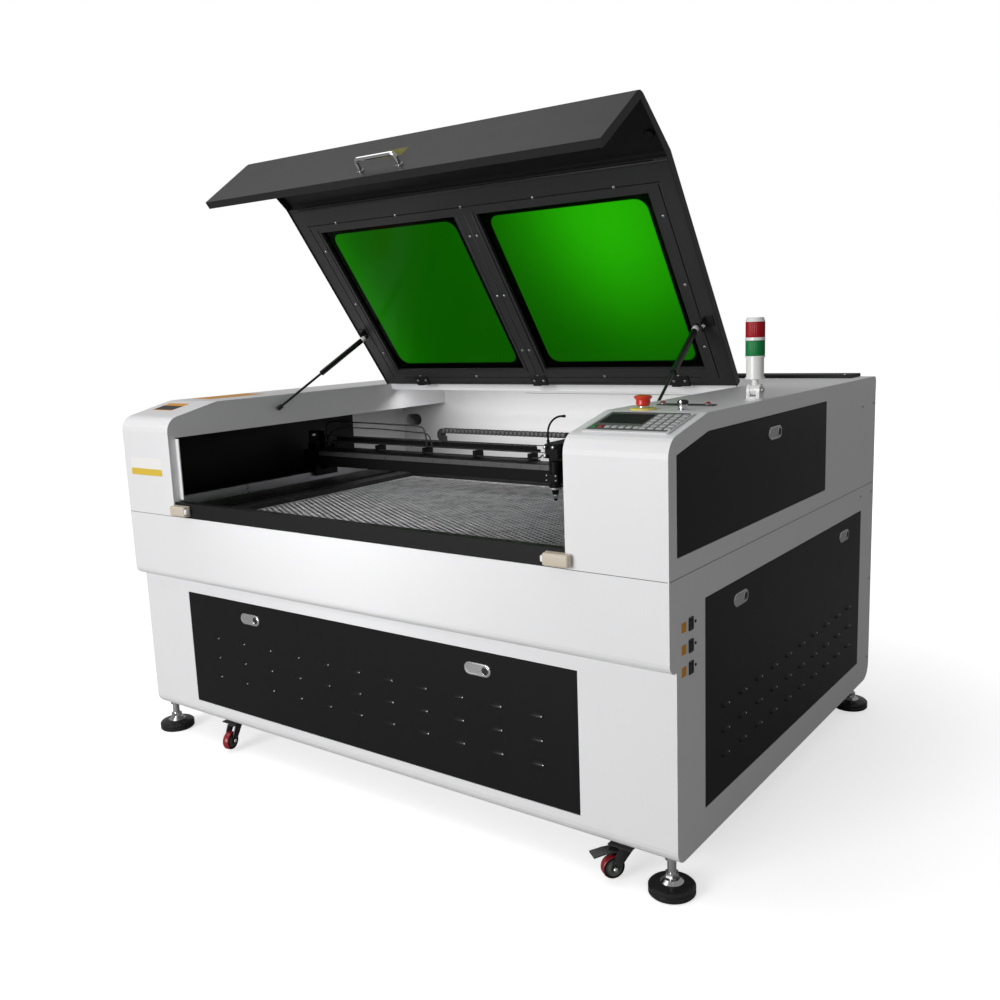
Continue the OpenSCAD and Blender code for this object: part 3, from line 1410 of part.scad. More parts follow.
module caster_wheel() translate([-wheel_w / 2, -caster_trail, axle_z]) rotate([0, 90, 0])
    difference() {
        rotate_extrude() polygon([[0, 0], [14, 0], [15, 2], [wheel_r - 6, 2], [wheel_r - 4, 0],
            [wheel_r - 2, 1], [wheel_r, 5], [wheel_r, wheel_w - 5],
            [wheel_r - 2, wheel_w - 1], [wheel_r - 4, wheel_w], [wheel_r - 6, wheel_w - 2],
            [15, wheel_w - 2], [14, wheel_w], [0, wheel_w]]);
        translate([0, 0, -1]) rod(wheel_bore, wheel_w + 2);
    }

module caster_fork_front_left() color("black") caster_at(true, true) caster_fork(false);
module caster_fork_front_right() color("black") caster_at(false, true) caster_fork(true);
module caster_fork_rear_left() color("black") caster_at(true, false) caster_fork(false);
module caster_fork_rear_right() color("black") caster_at(false, false) caster_fork(false);
module caster_wheel_front_left() color([0.6, 0.08, 0.1]) caster_at(true, true) caster_wheel();
module caster_wheel_front_right() color([0.6, 0.08, 0.1]) caster_at(false, true) caster_wheel();
module caster_wheel_rear_left() color([0.6, 0.08, 0.1]) caster_at(true, false) caster_wheel();
module caster_wheel_rear_right() color([0.6, 0.08, 0.1]) caster_at(false, false) caster_wheel();

lower_cabinet();
work_well();
left_housing();
right_housing();
top_deck();
rear_wall();
front_sill();
lid_catches();
rear_panels();
levelling_feet();
control_panel();
switch_frames();
tower_base();
y_rails();
table_frame();
honeycomb();
laser_tube();
inner_equipment();
caster_plates();
hinges_and_studs();
lid_shell();
lid_frame();
lid_windows();
lid_handle();
lid_brackets();
strut_rod_left();
strut_rod_right();
strut_cylinder_left();
strut_cylinder_right();
front_door();
upper_side_door();
lower_side_door();
front_button_left();
front_button_right();
upper_button();
lower_button_front();
lower_button_rear();
rear_cover();
gantry_beam();
x_rail();
x_belt();
chain_bend();
chain_upper();
carriage();
lens_tube();
estop_button();
key();
rocker_top();
rocker_middle();
rocker_bottom();
tower_post();
tower_lenses();
caster_fork_front_left();
caster_fork_front_right();
caster_fork_rear_left();
caster_fork_rear_right();
caster_wheel_front_left();
caster_wheel_front_right();
caster_wheel_rear_left();
caster_wheel_rear_right();
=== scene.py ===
"""Laser engraving machine with its lid open, dressed for rendering.

Lengths in the functions are millimetres: X to the right, Y back from the
front face of the cabinet and Z up from the floor, as in the part's source.
"""

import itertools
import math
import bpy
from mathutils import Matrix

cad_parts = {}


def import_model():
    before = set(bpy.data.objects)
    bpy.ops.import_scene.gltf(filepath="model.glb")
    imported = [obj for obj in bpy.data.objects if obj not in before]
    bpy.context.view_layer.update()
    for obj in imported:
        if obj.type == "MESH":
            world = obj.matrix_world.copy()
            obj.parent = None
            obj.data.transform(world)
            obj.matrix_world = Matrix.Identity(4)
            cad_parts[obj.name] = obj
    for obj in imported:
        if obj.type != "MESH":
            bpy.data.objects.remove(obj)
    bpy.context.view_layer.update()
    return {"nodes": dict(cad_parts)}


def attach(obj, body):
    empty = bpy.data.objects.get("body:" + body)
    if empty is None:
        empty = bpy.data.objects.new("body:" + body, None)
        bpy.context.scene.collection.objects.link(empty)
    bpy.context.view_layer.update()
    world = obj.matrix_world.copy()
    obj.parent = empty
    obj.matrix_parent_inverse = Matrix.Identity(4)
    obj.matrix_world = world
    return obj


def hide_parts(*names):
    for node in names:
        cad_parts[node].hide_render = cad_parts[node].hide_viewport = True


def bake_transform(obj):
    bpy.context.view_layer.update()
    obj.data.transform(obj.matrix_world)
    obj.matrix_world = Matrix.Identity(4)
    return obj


bl_info = {
    "name": "Laser Engraving Machine",
    "version": (1, 0, 0),
    "blender": (4, 5, 0),
    "location": "View3D > Sidebar > Laser Machine",
    "description": "Finishes, fine parts, stage and camera for a gantry laser engraver",
    "category": "Object",
}

import bpy
import numpy as np
from bpy.props import FloatProperty, FloatVectorProperty, IntProperty, PointerProperty
from mathutils import Matrix, Vector

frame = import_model()
NODES = frame["nodes"]

# ---- measures (mm)
MID_Y = 718.0  # from the front face back to the middle of the footprint
HALF_W = 925.0
LEFT_IN, RIGHT_IN = -698.0, 678.0  # inner faces of the two housings
BODY_TOP, SEAM_Z = 1055.0, 727.0
HINGE_Y, HINGE_Z, LID_OPEN = 963.0, 1062.0, math.radians(53.9)
LID_X0, LID_X1 = LEFT_IN + 17.0, RIGHT_IN - 7.0
LID_MID = (LID_X0 + LID_X1) / 2
FRAME_Z = 1042.0  # underside of the lid's frame, closed
SLOPE_FOOT = 1014.0  # height at which the housings' sloping tops begin
SLOPE = math.atan2(BODY_TOP - SLOPE_FOOT, 185.0)
PANEL_X, PANEL_Y = 803.5, 104.0  # middle of the control panel
DOOR_Y = 32.0  # front face of the front door
BACK_Y = 1408.0  # face of the rear panels
HEAD_X, HEAD_Y = 227.0, 655.0  # axis of the laser head's lens tube
TOWER = (901.0, 500.0)  # axis of the signal tower
LOUVRE_ROWS = (60.0, 0.0, -60.0)  # steps from row to row of louvres
KEY_SWITCH = (850, 221, BODY_TOP)
ROCKER_ZS = (616, 567.5, 519)  # heights of the three rocker switches
STRUT_PIN = (HINGE_Y - 240, HINGE_Z - 44)  # where the gas struts meet the closed lid
EXHAUST_XS, EXHAUST_Z = (-320, 320), 470  # middles of the two exhaust collars


def world(points):
    """Millimetres from the front face to metres in the part's frame."""
    p = np.asarray(points, float).reshape(-1, 3)
    return (p - (0.0, MID_Y, 0.0)) * 0.001


def opened(points):
    """Points of the closed lid turned about the hinge axis to the open lid."""
    p = np.array(points, float).reshape(-1, 3)
    y, z = p[:, 1] - HINGE_Y, p[:, 2] - HINGE_Z
    c, s = math.cos(LID_OPEN), math.sin(LID_OPEN)
    p[:, 1], p[:, 2] = HINGE_Y + y * c + z * s, HINGE_Z - y * s + z * c
    return p


def sloped(points):
    """Points on a flat sheet, origin at the control panel's middle, laid on
    the sloping top of the right housing."""
    p = np.array(points, float).reshape(-1, 3)
    c, s = math.cos(SLOPE), math.sin(SLOPE)
    y = PANEL_Y + p[:, 1] * c - p[:, 2] * s
    z = SLOPE_FOOT + PANEL_Y * math.tan(SLOPE) + p[:, 1] * s + p[:, 2] * c
    return np.stack([PANEL_X + p[:, 0], y, z], 1)


# ---- surfaces
class Form:
    """Gathers surfaces, each a block of points with faces and a finish. Every
    block is moved by lay, if that is given."""

    def __init__(self, lay=np.asarray):
        self.lay = lay
        self.points, self.faces, self.slots, self.smooth, self.count = [], [], [], [], 0

    def add(self, points, faces, slot=0, smooth=True):
        points = self.lay(np.asarray(points, float).reshape(-1, 3))
        self.points.append(points)
        self.faces += [[i + self.count for i in f] for f in faces]
        self.slots += [slot] * len(faces)
        self.smooth += [smooth] * len(faces)
        self.count += len(points)
        return self

    def block(self, low, high, r, n, slot=0, smooth=True):
        """Adds a block with rounded edges."""
        return self.add(*soft_block(low, high, r, n), slot, smooth)

    def turn(self, profile, base, axis, sides, slot=0, caps=True):
        """Adds a turned form."""
        return self.add(*turned(profile, base, axis, sides, caps), slot)


def quads(rows, cols, wrap=False):
    """Faces of a grid of points, rows by cols; wrap joins the last column to
    the first."""
    span = cols if wrap else cols - 1
    i, j = np.meshgrid(np.arange(rows - 1), np.arange(span), indexing="ij")
    k = (j + 1) % cols
    return np.stack([i * cols + j, i * cols + k, (i + 1) * cols + k, (i + 1) * cols + j],
                    -1).reshape(-1, 4).tolist()


def axes_for(direction):
    """Two unit vectors square to a direction and to each other."""
    d = np.asarray(direction, float)
    d = d / np.linalg.norm(d)
    side = np.cross(d, (0.0, 0.0, 1.0) if abs(d[2]) < 0.9 else (1.0, 0.0, 0.0))
    side /= np.linalg.norm(side)
    return side, np.cross(d, side), d


def turned(profile, base, axis, sides, caps):
    """Turned form: each (radius, height) of the profile swept round the axis,
    point = base + height*axis + radius*(cos t * a + sin t * b)."""
    a, b, d = axes_for(axis)
    r, h = np.asarray(profile, float).T
    t = np.linspace(0, 2 * math.pi, sides, endpoint=False)
    ring = np.cos(t)[:, None] * a + np.sin(t)[:, None] * b
    p = np.asarray(base, float) + h[:, None, None] * d + r[:, None, None] * ring
    faces = quads(len(r), sides, wrap=True)
    if caps and r[0] > 0:
        faces.append(list(range(sides))[::-1])
    if caps and r[-1] > 0:
        faces.append([(len(r) - 1) * sides + i for i in range(sides)])
    return p.reshape(-1, 3), faces


def hose(path, radius):
    """Round tube along a path: a Catmull-Rom curve through the points, with a
    circle carried along it square to the curve."""
    sides, steps = 10, 6
    c = np.asarray(path, float)
    e = np.vstack([2 * c[0] - c[1], c, 2 * c[-1] - c[-2]])
    t = np.linspace(0, 1, steps, endpoint=False)[:, None]
    p0, p1, p2, p3 = (e[i:len(e) - 3 + i, None] for i in range(4))
    curve = 0.5 * (2 * p1 + (p2 - p0) * t + (2 * p0 - 5 * p1 + 4 * p2 - p3) * t ** 2
                   + (3 * p1 - p0 - 3 * p2 + p3) * t ** 3)
    curve = np.vstack([curve.reshape(-1, 3), c[-1]])
    tangent = np.gradient(curve, axis=0)
    tangent /= np.linalg.norm(tangent, axis=1)[:, None]
    side = axes_for(tangent[0])[0]
    sides_at = []
    for d in tangent:
        side = side - d * (side @ d)
        side /= np.linalg.norm(side)
        sides_at.append(side)
    a = np.array(sides_at)
    b = np.cross(tangent, a)
    u = np.linspace(0, 2 * math.pi, sides, endpoint=False)
    p = curve[:, None] + radius * (np.cos(u)[:, None] * a[:, None] + np.sin(u)[:, None] * b[:,
                                                                                            None])
    n = len(curve)
    faces = quads(n, sides, wrap=True)
    faces += [list(range(sides))[::-1], [(n - 1) * sides + i for i in range(sides)]]
    return p.reshape(-1, 3), faces


def soft_block(low, high, r, n):
    """Block with rounded edges: a sphere of radius r whose eight octants are
    pushed out to the block's corners."""
    low, high = np.asarray(low, float), np.asarray(high, float)
    r = min(r, (high - low).min() / 2 * 0.999)
    q = np.linspace(0, math.pi / 2, n)
    lon = np.concatenate([q + k * math.pi / 2 for k in range(4)])
    lat = np.concatenate([q - math.pi / 2, q])
    sx = np.repeat([1, -1, -1, 1], n)
    sy = np.repeat([1, 1, -1, -1], n)
    sz = np.repeat([-1, 1], n)
    half, mid = (high - low) / 2 - r, (high + low) / 2
    x = np.cos(lat)[:, None] * np.cos(lon) * r + sx * half[0]
    y = np.cos(lat)[:, None] * np.sin(lon) * r + sy * half[1]
    z = np.repeat((np.sin(lat) * r + sz * half[2])[:, None], 4 * n, 1)
    p = np.stack([x, y, z], -1) + mid
    rows, cols = 2 * n, 4 * n
    faces = quads(rows, cols, wrap=True)
    faces += [list(range(cols))[::-1], [(rows - 1) * cols + i for i in range(cols)]]
    return p.reshape(-1, 3), faces


def outline_plate(outline, thickness, edge=0.6):
    """Flat plate with a softened rim: the outline drawn at the foot, then up
    the side and in over the edge, closed by flat faces. Lies on z = 0."""
    o = np.asarray(outline, float)
    middle = o.mean(0)
    span = np.linalg.norm(o - middle, axis=1)[:, None]
    inner = o - (o - middle) / span * edge
    n = len(o)
    rings = [(o, 0.0), (o, thickness - edge), (inner, thickness)]
    p = np.vstack([np.column_stack([q, np.full(n, h)]) for q, h in rings])
    faces = quads(3, n, wrap=True)
    faces += [list(range(n))[::-1], [2 * n + i for i in range(n)]]
    return p, faces


def slot_outline(w, h, n=12):
    """Rectangle with round ends, w wide and h high."""
    t = np.linspace(-math.pi / 2, math.pi / 2, n)
    right = np.column_stack([(w - h) / 2 + h / 2 * np.cos(t), h / 2 * np.sin(t)])
    return np.vstack([right, -right])


def round_rect_outline(w, h, r, n=6):
    """Rectangle with rounded corners of radius r."""
    t = np.linspace(0, math.pi / 2, n)
    parts = []
    for k, (sx, sy) in enumerate(((1, 1), (-1, 1), (-1, -1), (1, -1))):
        a = t + k * math.pi / 2
        parts.append(np.column_stack([sx * (w / 2 - r) + r * np.cos(a),
                                      sy * (h / 2 - r) + r * np.sin(a)]))
    return np.vstack(parts)


def placed(points, origin, x_axis, y_axis, z_axis):
    """Points drawn flat, moved to an origin with the three given axes."""
    p = np.asarray(points, float).reshape(-1, 3)
    m = np.array([x_axis, y_axis, z_axis], float)
    return np.asarray(origin, float) + p @ m


FRONT = ((1, 0, 0), (0, 0, 1), (0, -1, 0))  # drawn flat, faces the operator
RIGHT = ((0, 1, 0), (0, 0, 1), (1, 0, 0))  # drawn flat, faces right
BACK = ((-1, 0, 0), (0, 0, 1), (0, 1, 0))
UP = (0, 0, 1)
TOP = ((1, 0, 0), (0, 1, 0), UP)
UNDER = ((1, 0, 0), (0, -1, 0), (0, 0, -1))


def plate(form, outline, thickness, edge, origin, axes, slot=0):
    """Adds a plate with the given outline, laid at an origin."""
    p, f = outline_plate(outline, thickness, edge)
    form.add(placed(p, origin, *axes), f, slot, False)


def screw(form, origin, axes, d):
    """Pan-head screw with a cross recess: a low dome, turned, and two short
    dark bars across its crown."""
    dome = [(0.5, 0), (0.5, 0.12), (0.42, 0.24), (0.26, 0.31), (0, 0.33)]
    form.turn(np.array(dome) * d, origin, axes[2], 12)
    for w, h in ((0.5 * d, 0.1 * d), (0.1 * d, 0.5 * d)):
        plate(form, round_rect_outline(w, h, 0.04 * d, 2), 0.36 * d, 0.02 * d, origin, axes, 1)


def screws(form, xs, ys, zs, axes, d):
    """Screws at every crossing of the given rows."""
    for origin in itertools.product(xs, ys, zs):
        screw(form, origin, axes, d)


def new_object(name, data):
    """New object with its data, put in the scene."""
    obj = bpy.data.objects.new(name, data)
    bpy.context.scene.collection.objects.link(obj)
    return obj


def piece(name, form, finishes, body, stands_for=()):
    """Makes the mesh object in metres, gives it its finishes by their keys
    and lets it ride on a body, if one is named."""
    mesh = bpy.data.meshes.new(name)
    mesh.from_pydata(world(np.vstack(form.points)).tolist(), [], form.faces)
    mesh.polygons.foreach_set("material_index", form.slots)
    mesh.polygons.foreach_set("use_smooth", form.smooth)
    for key in finishes:
        mesh.materials.append(FINISH[key])
    mesh.update()
    obj = new_object(name, mesh)
    if body:
        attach(obj, body)
    if stands_for:
        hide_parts(*stands_for)
    return obj


# ---- finishes
def group(name, inputs, outputs):
    """New shader node group with float or colour sockets."""
    g = bpy.data.node_groups.new(name, "ShaderNodeTree")
    for n, kind, value in inputs:
        s = g.interface.new_socket(n, in_out="INPUT", socket_type=kind)
        s.default_value = value
    for n, kind in outputs:
        g.interface.new_socket(n, in_out="OUTPUT", socket_type=kind)
    return g, g.nodes.new("NodeGroupInput"), g.nodes.new("NodeGroupOutput")


def put(node, values):
    """Sets inputs of a node by their names."""
    for name, value in values.items():
        node.inputs[name].default_value = value


def feed(tree, value, into):
    """Links a socket to an input, or sets the input to a value."""
    if isinstance(value, bpy.types.NodeSocket):
        tree.links.new(value, into)
    else:
        into.default_value = value


def math_node(tree, op, a, b, clamp=False):
    """Math node whose inputs are sockets or numbers; returns its output."""
    n = tree.nodes.new("ShaderNodeMath")
    n.operation, n.use_clamp = op, clamp
    feed(tree, a, n.inputs[0])
    feed(tree, b, n.inputs[1])
    return n.outputs[0]


def blended(tree, a, b, factor, blend="MIX"):
    """Mix of two colours, each a socket or a value; returns its output."""
    n = tree.nodes.new("ShaderNodeMix")
    n.data_type, n.blend_type = "RGBA", blend
    for name, value in (("A", a), ("B", b), ("Factor", factor)):
        feed(tree, value, n.inputs[name])
    return n.outputs["Result"]


def noise(tree, scale, detail=2.0, rough=0.5):
    """Noise on Object coordinates; scale is a socket or a number."""
    co = tree.nodes.new("ShaderNodeTexCoord")
    n = tree.nodes.new("ShaderNodeTexNoise")
    tree.links.new(co.outputs["Object"], n.inputs["Vector"])
    put(n, {"Detail": detail, "Roughness": rough})
    feed(tree, scale, n.inputs["Scale"])
    return n.outputs["Fac"]


def surface_group():
    """Shared effect: a colour that drifts a little over the surface, a
    roughness with faint smears, and a fine grain as height."""
    g = bpy.data.node_groups.get("Surface Life")
    if g:
        return g
    g, into, out = group(
        "Surface Life",
        [("Color", "NodeSocketColor", (0.5, 0.5, 0.5, 1)), ("Drift", "NodeSocketFloat", 0.04),
         ("Drift Scale", "NodeSocketFloat", 3.0), ("Roughness", "NodeSocketFloat", 0.5),
         ("Smear", "NodeSocketFloat", 0.05), ("Grain Scale", "NodeSocketFloat", 900.0)],
        [("Color", "NodeSocketColor"), ("Roughness", "NodeSocketFloat"),
         ("Height", "NodeSocketFloat")])
    slow = noise(g, into.outputs["Drift Scale"], 3.0)
    spread = math_node(g, "MULTIPLY", math_node(g, "SUBTRACT", slow, 0.5), into.outputs["Drift"])
    gain = math_node(g, "ADD", math_node(g, "MULTIPLY", spread, 2.0), 1.0)
    tint = blended(g, into.outputs["Color"], gain, 1.0, "MULTIPLY")
    g.links.new(tint, out.inputs["Color"])
    smear = math_node(g, "SUBTRACT", noise(g, 14.0, 4.0, 0.65), 0.5)
    rough = math_node(g, "ADD", into.outputs["Roughness"],
                      math_node(g, "MULTIPLY", smear, into.outputs["Smear"]), clamp=True)
    g.links.new(rough, out.inputs["Roughness"])
    g.links.new(noise(g, into.outputs["Grain Scale"], 1.0), out.inputs["Height"])
    return g


def life_node(tree, values):
    """The shared effect as a node, with its inputs set."""
    n = tree.nodes.new("ShaderNodeGroup")
    n.node_tree = surface_group()
    put(n, values)
    return n


def shader(name):
    """New material with its Principled shader; returns both and the tree."""
    m = bpy.data.materials.new(name)
    m.use_nodes = True
    return m, m.node_tree.nodes["Principled BSDF"], m.node_tree


def layers(name, color, rough=0.5, metal=0.0, drift=0.05, smear=0.06, grain=900.0, bump=0.05,
           coat=0.0, spec=0.5, drift_scale=3.0):
    """Painted, plated or moulded surface with its drift, smears and grain. A
    single number is a grey. Returns the material, both shaders and the tree."""
    m, s, t = shader(name)
    if isinstance(color, float):
        color = (color, color, color)
    life = life_node(t, {"Color": (*color, 1), "Drift": drift, "Drift Scale": drift_scale,
                         "Roughness": rough, "Smear": smear, "Grain Scale": grain})
    t.links.new(life.outputs["Color"], s.inputs["Base Color"])
    t.links.new(life.outputs["Roughness"], s.inputs["Roughness"])
    if bump:
        b = t.nodes.new("ShaderNodeBump")
        put(b, {"Strength": bump, "Distance": 0.0004})
        t.links.new(life.outputs["Height"], b.inputs["Height"])
        t.links.new(b.outputs["Normal"], s.inputs["Normal"])
    put(s, {"Metallic": metal, "Specular IOR Level": spec, "Coat Weight": coat,
            "Coat Roughness": 0.12})
    return m, s, life, t


def finish(*args, **settings):
    """Material of one painted, plated or moulded surface."""
    return layers(*args, **settings)[0]


def split_by_height(name, edge_mm, below, above):
    """Surface whose lower part, up to a height in millimetres, has one finish
    and whose upper part has another: (colour, roughness, metallic) each."""
    m, s, life, t = layers(name, below[0], below[1])
    co = t.nodes.new("ShaderNodeTexCoord")
    xyz = t.nodes.new("ShaderNodeSeparateXYZ")
    t.links.new(co.outputs["Object"], xyz.inputs[0])
    up = math_node(t, "GREATER_THAN", xyz.outputs["Z"], edge_mm * 0.001)
    t.links.new(blended(t, (*below[0], 1), (*above[0], 1), up), life.inputs["Color"])
    span = math_node(t, "MULTIPLY", up, above[1] - below[1])
    t.links.new(math_node(t, "ADD", span, below[1]), life.inputs["Roughness"])
    t.links.new(math_node(t, "MULTIPLY", up, above[2]), s.inputs["Metallic"])
    return m


def floor_finish():
    """Pale floor that fades to white away from the machine, as a studio's
    paper sweep does, and is darker to the light that bounces off it."""
    m, s, life, t = layers("pale floor", 0.35, 0.7, drift=0.01, bump=0.02, grain=60)
    path = t.nodes.new("ShaderNodeLightPath")
    shown = blended(t, (0.35, 0.35, 0.35, 1), (0.92, 0.92, 0.92, 1), path.outputs["Is Camera Ray"])
    t.links.new(shown, life.inputs["Color"])
    co = t.nodes.new("ShaderNodeTexCoord")
    away = t.nodes.new("ShaderNodeVectorMath")
    away.operation = "LENGTH"
    t.links.new(co.outputs["Object"], away.inputs[0])
    ramp = t.nodes.new("ShaderNodeMapRange")
    ramp.interpolation_type = "SMOOTHSTEP"
    put(ramp, {"From Min": 0.9, "From Max": 3.4, "To Min": 0.60, "To Max": 0.95})
    t.links.new(away.outputs["Value"], ramp.inputs["Value"])
    s.inputs["Emission Color"].default_value = (1, 1, 1, 1)
    t.links.new(math_node(t, "MULTIPLY", ramp.outputs["Result"], path.outputs["Is Camera Ray"]),
                s.inputs["Emission Strength"])
    return m


def painted_glow_spot(tree, place, spread):
    """Bell-shaped spot of painted glow on Object coordinates,
    exp(-|(p - place) / spread|^2), with place and spread in metres."""
    point = tree.nodes.new("ShaderNodeTexCoord").outputs["Object"]
    for op, by in (("SUBTRACT", place), ("DIVIDE", spread), ("DOT_PRODUCT", None)):
        n = tree.nodes.new("ShaderNodeVectorMath")
        n.operation = op
        tree.links.new(point, n.inputs[0])
        feed(tree, by or point, n.inputs[1])
        point = n.outputs[0]
    less = math_node(tree, "MULTIPLY", n.outputs["Value"], -1.0)
    return math_node(tree, "POWER", math.e, less)


def green_pane(color):
    """Tinted acrylic: clear to look through, with a smooth gloss. The light
    that it throws about is grey, since a thin sheet tints a room but little.
    Its colour carries a painted glow: it is lighter in one soft spot and
    towards the left edge, standing in for the light on the pane."""
    m, s, t = shader("green acrylic with painted glow")
    life = life_node(t, {"Color": (*color, 1), "Drift": 0.1, "Drift Scale": 1.6,
                         "Roughness": 0.16, "Smear": 0.05})
    path = t.nodes.new("ShaderNodeLightPath")
    # painted glow: a soft bright spot and a lighter left edge raise the tint where light shows on
    # the pane
    spot = math_node(t, "MULTIPLY", painted_glow_spot(t, (0.44, -0.10, 1.52), (0.26, 0.4, 0.30)), 1.1)
    edge = math_node(t, "MULTIPLY", painted_glow_spot(t, (-0.62, -0.05, 1.45), (0.12, 1.0, 1.0)), 0.28)
    gain = math_node(t, "ADD", math_node(t, "ADD", spot, edge), 0.30)
    thin = blended(t, life.outputs["Color"], gain, 1.0, "MULTIPLY")
    mix = blended(t, thin, (0.25, 0.27, 0.25, 1), path.outputs["Diffuse Depth"])
    t.links.new(mix, s.inputs["Base Color"])
    t.links.new(life.outputs["Roughness"], s.inputs["Roughness"])
    put(s, {"Transmission Weight": 1.0, "IOR": 1.15})
    return m


def clear_glass(name, color):
    """Thin clear glass."""
    m, s, t = shader(name)
    fine = noise(t, 30.0)
    t.links.new(math_node(t, "ADD", math_node(t, "MULTIPLY", fine, 0.02), 0.03),
                s.inputs["Roughness"])
    put(s, {"Base Color": (*color, 1), "Transmission Weight": 0.9, "IOR": 1.3})
    return m


FINISH = {}


def make_finishes(look):
    """All finishes of the machine, from the colours in the panel."""
    FINISH.update({
        "body": finish("white powder coat", tuple(look.body_color), 0.42, drift=0.02,
                       bump=0.1, grain=700),
        "inner": finish("pale inner coat", 0.8, 0.5, drift=0.03, bump=0.1),
        "door": finish("black powder coat", tuple(look.door_color), 0.36, drift=0.1,
                       bump=0.12, grain=1100, spec=0.22),
        "lid": finish("charcoal powder coat", tuple(look.lid_color), 0.48, drift=0.08,
                      bump=0.16, grain=1000, spec=0.4),
        "frame": finish("charcoal frame paint", (0.036, 0.036, 0.037), 0.42, drift=0.1, bump=0.1),
        "matt": finish("matt black paint", 0.006, 0.55, drift=0.2, bump=0.1, spec=0.3),
        "satin sill": finish("black sill paint", 0.008, 0.5, drift=0.1, bump=0.1, spec=0.22),
        "satin": finish("satin black paint", (0.018, 0.018, 0.019), 0.35, drift=0.1),
        "strut": finish("black gas strut", 0.006, 0.3, bump=0.03),
        "gantry": finish("black gantry paint", 0.004, 0.5, drift=0.2, bump=0.06, spec=0.15),
        "plastic": finish("black moulded plastic", (0.016, 0.016, 0.017), 0.38, grain=1500),
        "beige": finish("beige moulded plastic", (0.6, 0.53, 0.43), 0.4, bump=0.03),
        "ivory": finish("white moulded plastic", (0.86, 0.86, 0.85), 0.28, drift=0.02, coat=0.3),
        "bezel": finish("pale panel bezel", (0.66, 0.66, 0.67), 0.45, drift=0.02),
        "grey": finish("grey panel foil", (0.12, 0.12, 0.125), 0.5, spec=0.2),
        "zinc": finish("zinc plate", (0.62, 0.62, 0.64), 0.34, 0.9, drift=0.08, smear=0.25),
        "fork": finish("dark plated steel", 0.1, 0.28, 0.85, drift=0.2, smear=0.3),
        "steel": finish("ground steel", (0.56, 0.56, 0.58), 0.3, 1.0, smear=0.2),
        "chrome": finish("bright chrome", (0.75, 0.75, 0.76), 0.1, 1.0, drift=0.02, bump=0),
        "alloy": finish("matt alloy", (0.34, 0.34, 0.35), 0.5, 0.8, drift=0.1, smear=0.2),
        "tray": finish("dusty ash tray", 0.42, 0.7, drift=0.3, smear=0.2),
        "guide": finish("dark ground guide rail", 0.1, 0.45, 0.6, drift=0.2, smear=0.3),
        "table": finish("black table frame", (0.03, 0.03, 0.031), 0.4, drift=0.3, smear=0.3),
        "comb": finish("bare aluminium foil", (0.9, 0.9, 0.91), 0.6, drift=0.6, smear=0.3,
                       drift_scale=26.0),
        "rubber": finish("black rubber", 0.014, 0.7, drift=0.1, bump=0.2),
        "tread": finish("red polyurethane", (0.3, 0.012, 0.018), 0.3, drift=0.06, coat=0.2),
        "hub": finish("grey nylon", (0.1, 0.12, 0.1), 0.45, drift=0.06),
        "latch": finish("satin latch plate", (0.66, 0.66, 0.67), 0.27, 0.9, smear=0.12),
        "red": finish("red moulded plastic", (0.62, 0.02, 0.012), 0.3, drift=0.03, coat=0.4),
        "dim red": finish("dark red lamp lens", (0.34, 0.006, 0.03), 0.2, drift=0.03, coat=0.3),
        "pale yellow": finish("pale yellow ring", (0.8, 0.72, 0.16), 0.45, drift=0.03),
        "orange": finish("orange label", (0.75, 0.33, 0.02), 0.5, drift=0.04),
        "label": finish("white label", (0.85, 0.84, 0.82), 0.5, drift=0.03),
        "dull amber": finish("worn amber label", (0.13, 0.12, 0.015), 0.6, drift=0.5,
                             drift_scale=60.0, spec=0.2),
        "amber": finish("amber label", (0.72, 0.5, 0.05), 0.5, drift=0.04),
        "green lens": finish("green lamp lens", (0.0, 0.2, 0.045), 0.32, drift=0.04, spec=0.3),
        "red lens": finish("red lamp lens", (0.36, 0.0, 0.008), 0.32, drift=0.04, spec=0.3),
        "green key": finish("green key", (0.02, 0.22, 0.06), 0.5),
        "red key": finish("dark red key", (0.28, 0.02, 0.03), 0.5),
        "screen": finish("dark display", (0.02, 0.022, 0.022), 0.6, drift=0.1, spec=0.06),
        "key": finish("grey key", (0.46, 0.46, 0.47), 0.5),
        "feet": split_by_height("black foot with bright stem", 28.0,
                                ((0.014, 0.014, 0.014), 0.16, 0.0), ((0.7, 0.7, 0.71), 0.15, 1.0)),
        "pane": green_pane(tuple(look.pane_color)),
        "tube glass": clear_glass("tube glass", (0.9, 0.92, 0.95)),
        # painted sheen: the chain links' lighter grey stands in for highlights on their ribs
        "chain": finish("chain link with painted sheen", 0.085, 0.4, drift=0.3, grain=1500),
        "cable": finish("black cable", 0.012, 0.45),
        "gap": finish("shadow gap", 0.05, 0.8),
    })


